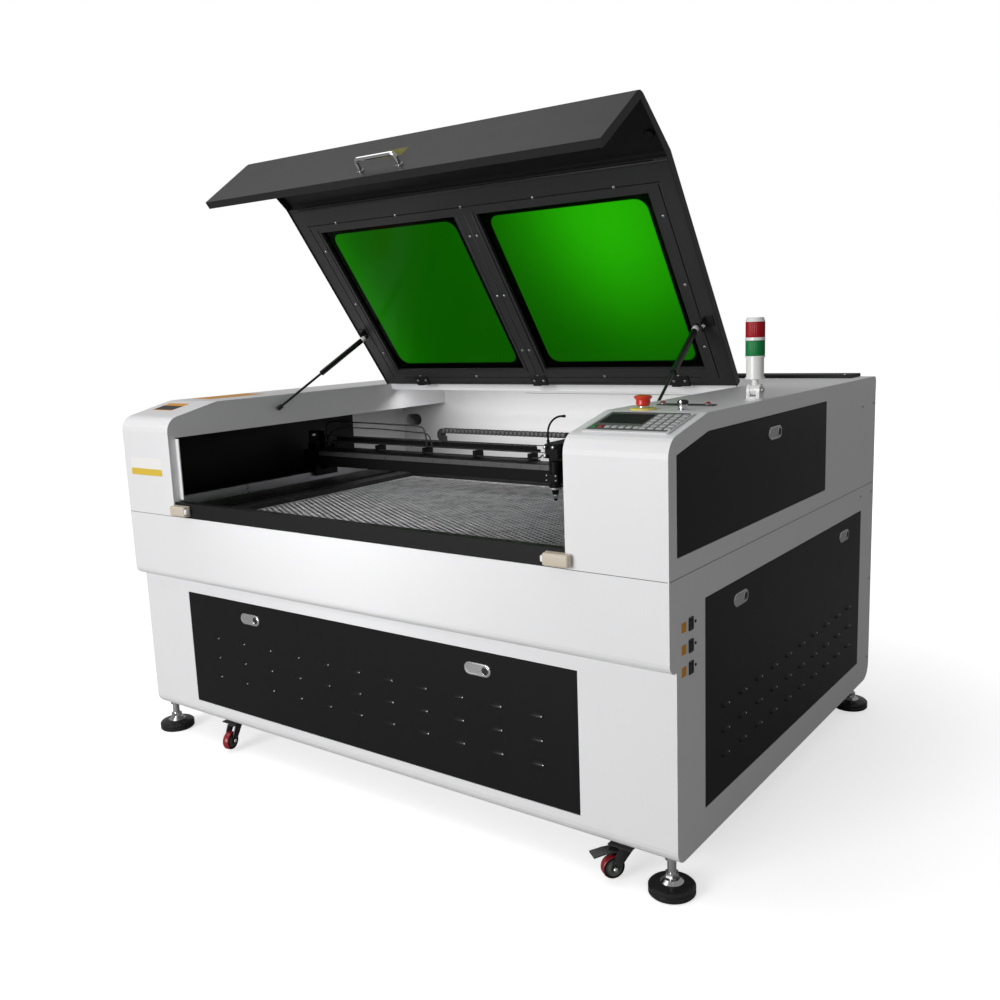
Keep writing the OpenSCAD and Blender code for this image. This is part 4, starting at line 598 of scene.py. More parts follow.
CAD_FINISH = {
    "body": ["lower_cabinet", "left_housing", "right_housing", "top_deck", "rear_panels"],
    "inner": ["rear_wall"],
    "matt": ["work_well", "rear_cover"],
    "satin sill": ["front_sill"],
    "beige": ["lid_catches"],
    "feet": ["levelling_feet"],
    "bezel": ["control_panel"],
    "ivory": ["tower_base", "tower_post"],
    "steel": ["y_rails"],
    "guide": ["x_rail"],
    "table": ["table_frame"],
    "comb": ["honeycomb"],
    "tube glass": ["laser_tube"],
    "zinc": ["inner_equipment"],
    "satin": ["hinges_and_studs", "caster_plates", "lid_brackets"],
    "fork": [f"caster_fork_{a}_{b}" for a in ("front", "rear") for b in ("left", "right")],
    "gantry": ["gantry_beam", "carriage", "lens_tube"],
    "lid": ["lid_shell"],
    "frame": ["lid_frame"],
    "strut": ["strut_rod_left", "strut_rod_right", "strut_cylinder_left", "strut_cylinder_right"],
    "pane": ["lid_windows"],
    "chrome": ["lid_handle"],
    "door": ["front_door", "upper_side_door", "lower_side_door"],
    "plastic": ["front_button_left", "front_button_right", "upper_button",
                "lower_button_front", "lower_button_rear", "chain_bend", "chain_upper",
                "key", "rocker_top", "rocker_middle", "rocker_bottom"],
    "rubber": ["x_belt"],
    "red": ["estop_button"],
    "pale yellow": ["switch_frames"],
    "tread": [f"caster_wheel_{a}_{b}" for a in ("front", "rear") for b in ("left", "right")],
    "green lens": ["tower_lenses"],
}


# ---- settings panel
class LaserLook(bpy.types.PropertyGroup):
    """Colours of the machine's main finishes."""

    body_color: FloatVectorProperty(
        name="Body", description="Colour of the cabinet's powder coat", subtype="COLOR",
        size=3, min=0, max=1, default=(0.80, 0.80, 0.81))
    door_color: FloatVectorProperty(
        name="Doors", description="Colour of the doors' powder coat", subtype="COLOR",
        size=3, min=0, max=1, default=(0.006, 0.006, 0.0065))
    lid_color: FloatVectorProperty(
        name="Lid", description="Colour of the lid's powder coat", subtype="COLOR",
        size=3, min=0, max=1, default=(0.016, 0.016, 0.017))
    pane_color: FloatVectorProperty(
        name="Panes", description="Colour of the lid's tinted panes", subtype="COLOR",
        size=3, min=0, max=1, default=(0.012, 0.30, 0.0008))


class LaserSizes(bpy.types.PropertyGroup):
    """Sizes of the fine parts."""

    cell: FloatProperty(
        name="Cell side", description="Length of a honeycomb cell's side", unit="LENGTH",
        default=0.011, min=0.004, max=0.02)
    screw: FloatProperty(
        name="Screw head", description="Diameter of the pan-head screws", unit="LENGTH",
        default=0.009, min=0.004, max=0.014)
    lens_ribs: IntProperty(
        name="Lens ribs", description="Ribs round each lamp lens of the signal tower",
        default=36, min=12, max=96)
    key_light: FloatProperty(
        name="Key light", description="Power of the main soft light", unit="NONE",
        default=246.0, min=0)


# ---- work
class LASER_OT_stage(bpy.types.Operator):
    """Pale floor, soft lights and the camera at the operator's right"""

    bl_idname = "laser.stage"
    bl_label = "Stage, lights and camera"

    def execute(self, context):
        scene = context.scene
        n = 40
        u = np.linspace(-1, 1, n)
        x, y = np.meshgrid(u * 14000, u * 14000 + MID_Y, indexing="ij")
        floor = Form().add(np.stack([x, y, np.full_like(x, -0.4)], -1).reshape(-1, 3), quads(n, n))
        mesh = bpy.data.meshes.new("floor")
        mesh.from_pydata(world(np.vstack(floor.points)).tolist(), [], floor.faces)
        mesh.materials.append(floor_finish())
        new_object("floor", mesh)

        sky = bpy.data.worlds.new("soft studio")
        sky.use_nodes = True
        tree = sky.node_tree
        path = tree.nodes.new("ShaderNodeLightPath")
        seen = math_node(tree, "MAXIMUM", path.outputs["Is Camera Ray"],
                         path.outputs["Is Transmission Ray"])
        light = math_node(tree, "ADD", math_node(tree, "MULTIPLY", seen, 0.72), 0.28)
        back = tree.nodes["Background"]
        back.inputs["Color"].default_value = (1, 1, 1, 1)
        tree.links.new(light, back.inputs["Strength"])
        scene.world = sky
        scene.view_settings.view_transform = "Standard"

        power = context.scene.laser_sizes.key_light
        for name, place, aim, size, watts, spread in (
            ("key light", (-0.9, -6.4, 1.7), (0, 0, 0.8), (3.0, 3.0), power, 180),
            ("top light", (-1.4, -0.9, 4.4), (0, 0, 0.9), (3.2, 3.2), power * 0.20, 180),
            ("work light", (-0.05, 0.281, 1.026), (-0.05, 0.43, 0.7), (1.2, 0.03),
             power * 0.0060, 180),
            ("table light", (-0.1, -2.9, 2.5), (-0.03, -0.12, 0.7), (0.5, 0.3),
             power * 0.0042, 26),
        ):
            data = bpy.data.lights.new(name, "AREA")
            data.shape, data.size, data.size_y = "RECTANGLE", size[0], size[1]
            data.energy, data.spread = watts, math.radians(spread)
            lamp = new_object(name, data)
            lamp.location = place
            lamp.rotation_mode = "QUATERNION"
            lamp.rotation_quaternion = (Vector(aim) - Vector(place)).to_track_quat("-Z", "Y")

        data = bpy.data.cameras.new("camera")
        data.sensor_width, data.lens = 36.0, 35.678
        data.clip_start, data.clip_end = 0.05, 100.0
        cam = new_object("camera", data)
        right = Vector((0.806107, 0.590594, -0.037290))
        down = Vector((0.072864, -0.161593, -0.984164))
        ahead = Vector((-0.587267, 0.790624, -0.173295))
        eye = Matrix.Translation((1.811745, -1.754507 - 0.001 * MID_Y, 1.251423))
        cam.matrix_world = eye @ Matrix((right, -down, -ahead)).transposed().to_4x4()
        scene.camera = cam
        return {"FINISHED"}


class LASER_OT_finishes(bpy.types.Operator):
    """Gives every part of the machine its paint, plating or plastic"""

    bl_idname = "laser.finishes"
    bl_label = "Finishes"

    def execute(self, context):
        make_finishes(context.scene.laser_look)
        left = set(NODES)
        for name, nodes in CAD_FINISH.items():
            for n in nodes:
                obj = NODES[n]
                if not obj.material_slots:
                    obj.data.materials.append(FINISH[name])
                for s in obj.material_slots:
                    s.material = FINISH[name]
                left.discard(n)
        if left:
            raise RuntimeError(f"no finish for {sorted(left)}")
        return {"FINISHED"}


class LASER_OT_cabinet(bpy.types.Operator):
    """Seams, screws, inner lining and catch blocks of the cabinet"""

    bl_idname = "laser.cabinet"
    bl_label = "Cabinet details"

    def execute(self, context):
        d = context.scene.laser_sizes.screw * 1000
        seams = Form()
        for x0, y0, x1, y1 in (
            (-HALF_W - 0.15, 3, -HALF_W + 1, 1403), (HALF_W - 1, 3, HALF_W + 0.15, 1403),
            (-HALF_W + 3, -0.15, LEFT_IN, 1), (RIGHT_IN, -0.15, HALF_W - 3, 1),
            (-HALF_W + 3, 1405, HALF_W - 3, 1406.15),
        ):
            seams.block((x0, y0, SEAM_Z - 0.7), (x1, y1, SEAM_Z + 0.7), 0.1, 2)
        seams.block((-310, 1284.7, 999.4), (RIGHT_IN, 1286, 1000.6), 0.1, 2)
        piece("seams", seams, ["gap"], "machine")

        heads = Form()
        for y, z in ((1275, 972), (1384, 975), (1384, 700), (1384, 420), (1384, 160), (1275, 700)):
            screw(heads, (HALF_W, y, z), RIGHT, d)
        screws(heads, (-565, -290, 0, 290, 565), (BACK_Y,), (790, 992), BACK, d)
        screws(heads, (-540, -270, 0, 270, 540), (BACK_Y,), (150, 320), BACK, d)
        ring = 85  # radius of the screws round each exhaust collar
        for x, t in itertools.product(EXHAUST_XS, np.radians(np.arange(30, 390, 60))):
            screw(heads, (x + ring * math.cos(t), BACK_Y, EXHAUST_Z + ring * math.sin(t)), BACK,
                  d * 0.8)
        screws(heads, (-860, -430, 0, 430, 860), (1310,), (1065,), TOP, d)
        screws(heads, (-650, -330, 0, 330, 640), (1010,), (BODY_TOP,), TOP, d * 0.9)
        piece("cabinet_screws", heads, ["zinc", "gap"], "machine")

        inner = Form()
        inner.block((-922.9, 30, 728), (-921, 990, 1010), 0.4, 2)
        inner.block((-922.5, 45, 1008), (LEFT_IN - 4, 985, 1010), 0.4, 2)
        inner.block((RIGHT_IN + 4, 220, 1008), (905, 985, 1010), 0.4, 2)
        piece("inner_lining", inner, ["matt"], "machine")

        blocks = Form()
        for s, outer in ((-1, LEFT_IN + 0.2), (1, RIGHT_IN - 0.2)):
            for a, b, ys, zs, r, n, slot in (
                (s * 628, s * 696, (-20, -0.1), (733, 763), 6.0, 6, 0),
                (s * 628, outer, (-4, 4), (733, 763), 1.0, 3, 0),
                (s * 622, s * 640, (-17, -2), (741, 756), 3.0, 4, 1),
            ):
                low, high = zip(sorted((a, b)), ys, zs)
                blocks.block(low, high, r, n, slot)
        piece("catch_blocks", blocks, ["beige", "ivory"], "machine", ["lid_catches"])
        return {"FINISHED"}


class LASER_OT_labels(bpy.types.Operator):
    """Plain fields of colour where the labels sit"""

    bl_idname = "laser.labels"
    bl_label = "Label fields"

    def execute(self, context):
        form = Form()

        def field(centre, w, h, axes, slot, lift=0.0):
            plate(form, round_rect_outline(w, h, 2.0, 3), 0.35 + lift, 0.1, centre, axes, slot)

        field((-818, 0, 871), 152, 52, FRONT, 0)
        field((-818, 0, 855), 152, 20, FRONT, 1, 0.1)
        c, s = math.cos(SLOPE), math.sin(SLOPE)
        tilt = ((1, 0, 0), (0, c, s), (0, -s, c))
        z = SLOPE_FOOT + 121 * math.tan(SLOPE)
        field((-840, 121, z), 99, 69, tilt, 2)
        field((-840, 112, z - 9 * math.tan(SLOPE)), 96, 40, tilt, 3, 0.1)
        field((-858, 360, BODY_TOP), 100, 222, TOP, 2)
        for z in ROCKER_ZS:
            field((HALF_W, 66, z), 22, 22, RIGHT, 2)
        piece("label_fields", form,
              ["label", "amber", "orange", "plastic"], "machine")
        return {"FINISHED"}


class LASER_OT_doors(bpy.types.Operator):
    """Latch plates and louvre hoods of the three doors"""

    bl_idname = "laser.doors"
    bl_label = "Latches and louvres"

    def latch(self, form, origin, axes):
        """Oval dished plate: outline carried up, over a rounded rim and down
        into a shallow dish, with a ring round the push button."""
        outer = slot_outline(80, 32)
        rings = [(80, 32, 0), (80, 32, 2.4), (78.6, 30.6, 3.4), (74, 26, 3.5), (70, 22, 3.1)]
        n = len(outer)
        p = np.vstack([np.column_stack([slot_outline(w, h), np.full(n, z)]) for w, h, z in rings])
        faces = quads(len(rings), n, wrap=True)
        form.add(placed(p, origin, *axes), faces, 0)
        dish = slot_outline(70, 22)
        t = np.linspace(0, 2 * math.pi, n, endpoint=False)
        hole = np.column_stack([24 + 9.2 * np.cos(t), 9.2 * np.sin(t)])
        start = np.argmin(np.abs(np.arctan2(dish[:, 1], dish[:, 0] - 24)))
        floor = np.vstack([np.roll(dish, -start, 0), hole])
        floor = np.column_stack([floor, np.full(2 * n, 3.1)])
        form.add(placed(floor, origin, *axes), quads(2, n, wrap=True), 0)
        base = np.asarray(origin, float) + 24 * np.asarray(axes[0], float)
        form.turn([(9.2, 2.9), (9.2, 3.9), (10.2, 4.3), (11.2, 3.9), (11.4, 3.1)], base, axes[2],
                  28, 1)

    def hood(self, form, origin, axes, w=40.0, h=9.0, rise=5.0):
        """Pressed louvre: height = rise * (1 - u^2)^0.3 * cos(pi v / 2)^0.8, a
        shell that opens downwards, with u along and v across the slit. A small
        bright metal block at its end is a painted highlight of the scoop's edge."""
        u = np.linspace(-1, 1, 13)
        v = np.linspace(0, 1, 6)
        uu, vv = np.meshgrid(u, v, indexing="ij")
        lift = rise * np.sqrt(np.clip(1 - uu ** 2, 0,
                                      1)) ** 0.6 * np.sin(np.pi / 2 * (1 - vv)) ** 0.8
        y = (vv - 0.35) * h * np.sqrt(np.clip(1 - (uu * 0.98) ** 2, 0.04, 1)) ** 0.4
        p = np.stack([uu * w / 2, y, lift + 0.05], -1).reshape(-1, 3)
        faces = quads(13, 6)
        form.add(placed(p, origin, *axes), [f[::-1] for f in faces], 0)
        # painted highlight: a small bright metal block at the hood's right end
        glint_block, faces = soft_block((w / 2 - 6.5, -2.2, 1.2), (w / 2 - 1.5, 1.6, 4.2), 1.4, 4)
        form.add(placed(glint_block, origin, *axes), faces, 1)

    def execute(self, context):
        for name, body, spots, axes in (
            ("front_latch_plates", "front_door", [(-431, DOOR_Y, 440), (399, DOOR_Y, 440)], FRONT),
            ("upper_latch_plate", "upper_side_door", [(HALF_W, 567, 971)], RIGHT),
            ("lower_latch_plates", "lower_side_door",
             [(HALF_W, 363, 607), (HALF_W, 1121, 607)], RIGHT),
        ):
            form = Form()
            for spot in spots:
                self.latch(form, spot, axes)
            piece(name, form, ["latch", "chrome"], body)
        for name, body, axes, spots in (
            ("front_louvres", "front_door", FRONT,
             [(-16 + (i - 5) * 116.4, DOOR_Y, 299.5 + up)
              for i in range(11) for up in LOUVRE_ROWS]),
            ("side_louvres", "lower_side_door", RIGHT,
             [(HALF_W, 728 + (i - 4.5) * 100, 314.5 + up)
              for i in range(10) for up in LOUVRE_ROWS]),
        ):
            hoods = Form()
            for spot in spots:
                self.hood(hoods, spot, axes)
            piece(name, hoods, ["door", "latch"], body)
        return {"FINISHED"}


class LASER_OT_lid(bpy.types.Operator):
    """Screws, trim, label field, strut collars and bumpers of the lid"""

    bl_idname = "laser.lid"
    bl_label = "Lid details"

    def execute(self, context):
        d = context.scene.laser_sizes.screw * 1000
        form = Form(opened)
        for xs, ys, z in (
            ((-502, -250, 0, 250, 502), (296,), FRAME_Z),
            ((-500, -250, 0, 250, 500), (920,), FRAME_Z),
            ((-13, 13), (393, 604, 814), FRAME_Z),
            ((-613, 613), (393, 604, 814), FRAME_Z),
            ((-518, -482, -18, 18, 482, 518), (936,), FRAME_Z - 4),
        ):
            screws(form, [LID_MID + x for x in xs], ys, (z,), UNDER, d)
        piece("lid_screws", form, ["zinc", "gap"], "lid")

        trim = Form(opened)
        for low, high in (
            ((LID_X0 + 2, 240, FRAME_Z - 1.2), (LID_X1 - 2, 246, FRAME_Z)),
            ((LID_MID - 31, 322, FRAME_Z - 1.5), (LID_MID - 27, 905, FRAME_Z)),
            ((LID_MID + 27, 322, FRAME_Z - 1.5), (LID_MID + 31, 905, FRAME_Z)),
            ((LID_MID - 2, 322, FRAME_Z - 1.0), (LID_MID + 2, 905, FRAME_Z)),
        ):
            trim.block(low, high, 0.5, 2)
        piece("lid_trim", trim, ["frame"], "lid")

        field = Form(opened)
        plate(field, round_rect_outline(88, 40, 1.5, 3), 0.4, 0.1, (-8, 41, 893), FRONT)
        piece("lid_label_field", field, ["dull amber"], "lid")

        for name, side, lid_x, wall in (("left", -1, LID_X0, LEFT_IN),
                                        ("right", 1, LID_X1, RIGHT_IN)):
            upper = opened((lid_x - side * 53, *STRUT_PIN))[0]
            lower = np.array((wall - side * 13, 420.0, 1014.0))
            collar = Form().turn([(8.4, 9), (9.3, 10), (9.3, 26), (8.4, 27)], upper,
                                 lower - upper, 28)
            piece(f"{name}_strut_collar", collar, ["ivory"], f"{name}_strut_cylinder")
            stud = opened((lid_x - side * 36.5, *STRUT_PIN))[0]
            nut = Form().turn([(0, 0), (7.5, 0), (7.5, 4), (4, 5), (4, 8), (0, 8.4)], stud,
                              (side, 0, 0), 6)
            piece(f"{name}_strut_nut", nut, ["chrome"], "lid")

        stops = Form(opened)
        for x in (-650, 640):
            stops.turn([(13, 0), (13, 5), (11, 8), (6, 9), (0, 9)], (x, 170, 1044),
                       (0, 0.263, -0.965), 24)
        piece("lid_bumpers", stops, ["rubber"], "lid")
        return {"FINISHED"}


class LASER_OT_table(bpy.types.Operator):
    """Honeycomb of bonded foil ribbons, and the tray under it"""

    bl_idname = "laser.table"
    bl_label = "Honeycomb table"

    def execute(self, context):
        """Ribbon j runs along X at y = j*h and steps between two levels h
        apart, so that neighbouring ribbons close the six-sided cells."""
        side = context.scene.laser_sizes.cell * 1000
        x0, x1, y0, y1, top, depth = -642.0, 622.0, 154.0, 1008.0, 708.0, 15.0
        h = side * math.sqrt(3) / 2
        rows = int((y1 - y0) / h)
        periods = int((x1 - x0) / (3 * side))
        one = np.array([(0, 0), (1, 0), (1.5, 1), (2.5, 1)])
        k = np.arange(periods)
        xs = (one[None, :, 0] * side + k[:, None] * 3 * side).ravel()
        level = np.tile(one[:, 1], periods)
        xs = xs + x0 + (x1 - x0 - xs[-1]) / 2
        j = np.arange(rows)
        flip = (j % 2)[:, None]
        y = y0 + j[:, None] * h + np.where(flip == 0, level, 1 - level) * h
        x = np.repeat(xs[None], rows, 0)
        wall = 0.9
        lines = [(-wall, top - depth), (-wall, top), (wall, top), (wall, top - depth)]
        p = np.stack([np.stack([x, y + dy, np.full_like(x, z)], -1) for dy, z in lines], 2)
        n = len(xs)
        a = (np.arange(rows)[:, None] * n + np.arange(n - 1)).ravel() * 4
        faces = np.concatenate([np.stack([a + q, a + q + 1, a + q + 5, a + q + 4], -1)
                                for q in range(3)]).tolist()
        comb = Form().add(p.reshape(-1, 3), faces, 0, False)
        rim = 1.5
        for xa, ya, xb, yb in ((x0 + 1, y0, x1 - 1, y0 + rim), (x0 + 1, y1 - rim, x1 - 1, y1),
                               (x0, y0, x0 + rim, y1), (x1 - rim, y0, x1, y1)):
            comb.block((xa, ya, top - depth), (xb, yb, top + 0.2), 0.2, 2, 0, False)
        piece("honeycomb_foil", comb, ["comb"], "machine", ["honeycomb"])
        tray = Form().block((-700, 92, 641), (680, 1070, 644), 0.5, 2)
        piece("well_tray", tray, ["tray"], "machine")
        return {"FINISHED"}


class LASER_OT_gantry(bpy.types.Operator):
    """Screws, second mirror, cables and chain links of the gantry"""

    bl_idname = "laser.gantry"
    bl_label = "Gantry details"

    def execute(self, context):
        form = Form()
        screws(form, np.arange(-760, 780, 70.0), (688,), (826.5,), FRONT, 5.0)
        screws(form, np.arange(-790, 800, 120.0), (712,), (835,), TOP, 6.0)
        screws(form, (-868, -832, 832, 868), (700, 785), (835,), TOP, 7.0)
        piece("gantry_screws", form, ["satin", "gap"], "gantry")

        mirror = Form()
        n = (math.sqrt(0.5), -math.sqrt(0.5), 0)
        centre = np.array((-850.0, 715.0, 888.0))
        mirror.turn([(0, 6), (9.0, 6), (9.0, 5), (15, 4.5), (15, -1)], centre, n, 32)
        mirror.turn([(0, 6.4), (8.6, 6.4), (8.8, 6.0)], centre, n, 32, 1)
        for a in (0.6, 2.7, 4.7):
            side, up, _ = axes_for(n)
            spot = centre + 13 * (math.cos(a) * side + math.sin(a) * up) - 4 * np.array(n)
            mirror.turn([(3, 0), (3, 12), (4.5, 12), (4.5, 18), (3.5, 19), (0, 19)], spot,
                        [-v for v in n], 14, 2)
        piece("second_mirror", mirror, ["satin", "chrome", "steel"], "gantry")

        wires = Form()
        wires.add(*hose([(-870, 790, 760), (-868, 800, 850), (-840, 782, 924), (-700, 766, 932),
                         (-500, 764, 930), (-385, 763, 927), (-360, 762, 905), (-352, 760, 858)],
                         2.6))
        wires.add(*hose([(-845, 770, 850), (-780, 758, 906), (-600, 757, 914), (-420, 757, 908),
                         (-345, 756, 902), (-322, 754, 858)], 2.2))
        wires.add(*hose([(-815, 752, 845), (-700, 756, 841), (-300, 755, 840), (60, 757, 841),
                         (110, 770, 852)], 2.4))
        piece("gantry_cables", wires, ["cable"], "gantry")

        # The links' lighter grey (slot 0) against the black joins is a painted sheen for the
        # highlights along the chain's ribs.
        low, high, pitch = (-294.0, 772.0, 906.0), (191.0, 798.0, 922.0), 16.2
        links = Form()
        for x in np.arange(low[0], high[0] - pitch / 2, pitch):
            links.block((x, low[1], low[2]), (min(x + 10.5, high[0]), high[1], high[2]), 2.0, 3)
            links.block((x + 9, low[1] + 2, low[2] + 2),
                        (min(x + pitch + 1, high[0]), high[1] - 2, high[2] - 2), 1.0, 2, 1)
        run = piece("chain_links", links, ["chain", "plastic"], None, ["chain_upper"])
        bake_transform(run)
        return {"FINISHED"}


class LASER_OT_head(bpy.types.Operator):
    """Screws, knobs, strap and nozzle tip of the laser head"""

    bl_idname = "laser.head"
    bl_label = "Laser head"

    def execute(self, context):
        x, y = HEAD_X, HEAD_Y
        form = Form()
        screws(form, (x - 26, x + 26), (674,), (796, 838, 860, 890), FRONT, 5.0)
        screws(form, (x - 16, x + 16), (633,), (800, 814), FRONT, 4.5)
        piece("head_screws", form, ["zinc", "gap"], "laser_head")

        knobs = Form()
        for dx, z in ((-14, 898), (14, 898), (-14, 872)):
            knobs.turn([(0, 0), (3, 0), (3, 8), (5, 8.4), (5, 15), (4, 16), (0, 16)],
                       (x + dx, 637, z), (0, -1, 0), 16)
        piece("mirror_knobs", knobs, ["steel"], "laser_head")
        turn = math.atan2(-39.4, 30.9)
        c, s = math.cos(turn), math.sin(turn)
        p, faces = soft_block((-25, -2, 0), (25, 2, 1.6), 0.6, 2)
        bar = Form().add(placed(p, (204, 673.8, 881.3), (c, 0, s), (-s, 0, c), (0, -1, 0)), faces)
        piece("head_strap", bar, ["steel"], "laser_head")

        tip = Form()
        tip.turn([(2, 737), (4.2, 737), (5.0, 741), (7.0, 746), (8.4, 752), (8.4, 756)],
                 (x, y, 0), UP, 24)
        tip.turn([(15.1, 771), (19.4, 771), (19.6, 772), (19.6, 776), (19.2, 777), (15.1, 777)],
                 (x, y, 0), UP, 36, 1)
        piece("nozzle_tip", tip, ["steel", "alloy"], "lens_tube")
        return {"FINISHED"}


class LASER_OT_controls(bpy.types.Operator):
    """Display, keys, lamps, key switch and the plates under the switches"""

    bl_idname = "laser.controls"
    bl_label = "Controls"

    def execute(self, context):
        panel = Form(sloped)
        plate(panel, round_rect_outline(190, 120, 3), 0.4, 0.1, (0, 0, 4.08), TOP)
        plate(panel, round_rect_outline(105.4, 63.4, 1), 0.5, 0.1, (-33, 14, 4.5), TOP, 1)
        for i in range(7):
            panel.block((-89.5 + i * 17, -49.5, 4.4), (-76.5 + i * 17, -36.5, 6.6), 1.0, 3,
                        2 if i > 1 else 4 - i)
        for i, j in itertools.product(range(4), range(6)):
            panel.block((27.4 + i * 19, -50.6 + j * 17, 4.4),
                        (42.6 + i * 19, -37.4 + j * 17, 6.4), 1.0, 3, 2)
        piece("panel_keys", panel, ["grey", "screen", "key", "red key", "green key"], "machine")

        top = BODY_TOP
        plates = Form()
        base = (755.0, 217.0, top)
        plates.turn([(8.1, 0.02), (30, 0.02), (30, 2.2), (29.2, 3), (13.5, 3.1)], base, UP, 48)
        plates.turn([(13.8, 3.0), (13.8, 8.2), (13, 9), (8.3, 9.1)], base, UP, 36, 3)
        plates.block((735, 318, top), (874, 346, top + 3), 0.5, 2, 1, False)
        for x in (746, 859):
            plates.turn([(7.6, 3), (7.6, 4.4), (7, 5), (5.6, 5.1)], (x, 332, top), UP, 28, 3)
            plates.turn([(5.5, 3.0), (5.5, 7.4), (4.6, 8.6), (2.6, 9.2), (0, 9.4)],
                        (x, 332, top), UP, 24, 2)
        plates.turn([(12, 0), (12, 1.6), (11.4, 2.1), (9.6, 2.2), (9.6, 12.2), (8.8, 13),
                     (6.2, 13)], KEY_SWITCH, UP, 32, 3)
        for z in ROCKER_ZS:
            outer, inner = round_rect_outline(21, 29, 2), round_rect_outline(11.2, 17.2, 0.6)
            rings = [(outer, 0), (outer, 1.8), (outer * 0.95, 2.4), (inner * 1.12, 2.4),
                     (inner, 1.9), (inner, -6)]
            n = len(outer)
            p = np.vstack([np.column_stack([o, np.full(n, h)]) for o, h in rings])
            plates.add(placed(p, (HALF_W, 99, z), *RIGHT), quads(len(rings), n, wrap=True), 1,
                       False)
            plates.turn([(3.4, 0), (3.4, 1.2), (2.4, 2.2), (0, 2.6)], (HALF_W, 121, z), (1, 0, 0),
                        16, 1)
        bow = Form()
        bow.turn([(0, 13.2), (9, 13.2), (12, 15), (12.4, 18), (11, 21), (7, 22.4), (0, 22.6)],
                 KEY_SWITCH, UP, 28)
        bow.block((847.4, 207.6, top + 13.4), (852.6, 211.6, top + 22), 0.8, 3, 1)
        piece("key_bow", bow, ["rubber", "chrome"], "key", ["key"])
        piece("switch_plates", plates, ["pale yellow", "plastic", "dim red", "chrome"], "machine",
              ["switch_frames"])
        return {"FINISHED"}


class LASER_OT_tower(bpy.types.Operator):
    """Ribbed lenses and knuckle bolt of the signal tower"""

    bl_idname = "laser.tower"
    bl_label = "Signal tower"

    def lens(self, form, centre, low, high, radius, ribs, slot):
        """Ribbed lens: distance = radius - 0.45 + 0.45*cos(ribs * t), the same
        along the height but for a rounded top and foot."""
        n = ribs * 4
        t = np.linspace(0, 2 * math.pi, n, endpoint=False)
        rib = radius - 0.45 + 0.45 * np.cos(ribs * t)
        h = np.array([0, 0.6, 1.6, high - low - 1.6, high - low - 0.6, high - low])
        k = np.array([0.96, 0.99, 1, 1, 0.99, 0.96])
        r = k[:, None] * rib
        p = np.stack([centre[0] + r * np.cos(t), centre[1] + r * np.sin(t),
                      np.repeat((low + h)[:, None], n, 1)], -1)
        form.add(p.reshape(-1, 3), quads(6, n, wrap=True), slot)

    def execute(self, context):
        ribs = context.scene.laser_sizes.lens_ribs
        form = Form()
        for slot, low, high in ((0, 1159.1, 1194.9), (1, 1202.1, 1237.9)):
            self.lens(form, TOWER, low, high, 22.5, ribs, slot)
        piece("tower_lens_caps", form, ["green lens", "red lens"], "signal_tower",
              ["tower_lenses"])
        bolt = Form()
        bolt.turn([(4.0, 0), (7, 0), (7, 3), (6, 4), (0, 4)], (918.6, 500, 1079), (1, 0, 0), 6)
        piece("tower_knuckle_bolt", bolt, ["zinc"], "machine")
        return {"FINISHED"}


class LASER_OT_casters(bpy.types.Operator):
    """Wheels with red treads and grey hubs, and their axle nuts"""

    bl_idname = "laser.casters"
    bl_label = "Caster wheels"

    def execute(self, context):
        for name, x, y, turn in (
            ("front_left", -HALF_W + 338, 66, 15), ("front_right", HALF_W - 150, 66, -38),
            ("rear_left", -HALF_W + 338, 1340, 150), ("rear_right", HALF_W - 150, 1340, 200),
        ):
            t = math.radians(turn)
            axis = np.array((math.cos(t), math.sin(t), 0))
            centre = np.array((x + 30 * math.sin(t), y - 30 * math.cos(t), 34.0))
            form = Form()
            w = 11.0
            tread = [(21.5, -w + 1), (23, -w), (25.6, -w + 1.2), (27, -w + 4.5), (27, w - 4.5),
                     (25.6, w - 1.2), (23, w), (21.5, w - 1)]
            form.turn(tread, centre, axis, 40, 0, False)
            for side in (-1, 1):
                form.turn([(20.5, w - 0.5), (21.5, w - 0.3), (23.4, w + 0.1), (25.2, w - 0.9)],
                          centre, side * axis, 40, 2, False)
            hub = [(5.1, -w + 0.4), (9, -w + 0.2), (10, -w + 2.5), (19, -w + 3), (21.6, -w + 0.8),
                   (21.6, w - 0.8), (19, w - 3), (10, w - 2.5), (9, w - 0.2), (5.1, w - 0.4)]
            form.turn(hub, centre, axis, 40, 1, False)
            piece(f"{name}_tyre", form, ["tread", "hub", "matt"], f"{name}_wheel",
                  [f"caster_wheel_{name}"])
            nuts = Form()
            for s in (-1, 1):
                nuts.turn([(0, 0), (7, 0), (7, 3), (5, 5.4), (4, 6.4), (0, 6.6)],
                          centre + s * (w + 5.8) * axis, s * axis, 6)
            piece(f"{name}_axle_nuts", nuts, ["chrome"], f"{name}_caster")
        return {"FINISHED"}


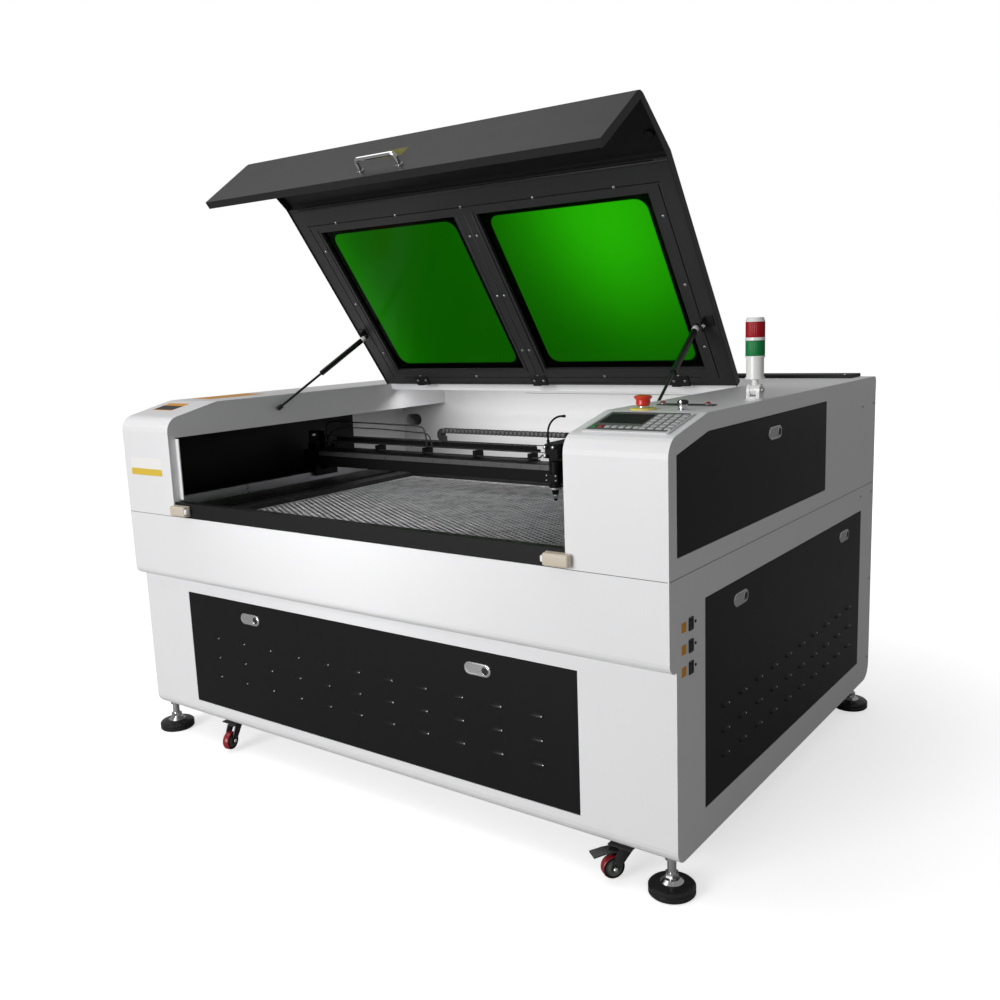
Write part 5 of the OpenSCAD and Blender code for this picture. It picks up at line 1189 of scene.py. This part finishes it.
class LASER_OT_back(bpy.types.Operator):
    """Mains inlet and cable glands on the back"""

    bl_idname = "laser.back"
    bl_label = "Back details"

    def execute(self, context):
        form = Form()
        x = 660  # middle of the inlet
        plate(form, round_rect_outline(50, 60, 4), 2.5, 0.6, (x, 1418, 250), BACK)
        plate(form, round_rect_outline(32, 26, 5), 6.0, 1.0, (x, 1418, 262), BACK)
        for pin in (x - 7, x, x + 7):
            form.block((pin - 1.2, 1423, 258), (pin + 1.2, 1424.6, 267), 0.3, 2, 1)
        gland = [(14, 0), (14, 5), (11, 6), (10, 14), (6, 16), (3, 16)]
        for z in (330, 370):
            form.turn(gland, (x, 1406, z), (0, 1, 0), 20)
        piece("mains_inlet", form, ["plastic", "steel"], "machine")
        return {"FINISHED"}


STEPS = (LASER_OT_stage, LASER_OT_finishes, LASER_OT_cabinet, LASER_OT_labels, LASER_OT_doors,
         LASER_OT_lid, LASER_OT_table, LASER_OT_gantry, LASER_OT_head, LASER_OT_controls,
         LASER_OT_tower, LASER_OT_casters, LASER_OT_back)


class LASER_PT_panel(bpy.types.Panel):
    """Sidebar panel with the settings and the steps in their order"""

    bl_label = "Laser Machine"
    bl_idname = "LASER_PT_panel"
    bl_space_type = "VIEW_3D"
    bl_region_type = "UI"
    bl_category = "Laser Machine"

    def draw(self, context):
        for settings in (context.scene.laser_look, context.scene.laser_sizes):
            for name in settings.__annotations__:
                self.layout.prop(settings, name)
        for step in STEPS:
            self.layout.operator(step.bl_idname)


CLASSES = (LaserLook, LaserSizes, *STEPS, LASER_PT_panel)


def register():
    for c in CLASSES:
        bpy.utils.register_class(c)
    bpy.types.Scene.laser_look = PointerProperty(type=LaserLook)
    bpy.types.Scene.laser_sizes = PointerProperty(type=LaserSizes)


def unregister():
    del bpy.types.Scene.laser_sizes
    del bpy.types.Scene.laser_look
    for c in reversed(CLASSES):
        bpy.utils.unregister_class(c)


def main():
    register()
    for step in STEPS:
        getattr(bpy.ops.laser, step.bl_idname.split(".")[1])()


if __name__ == "__main__":
    main()
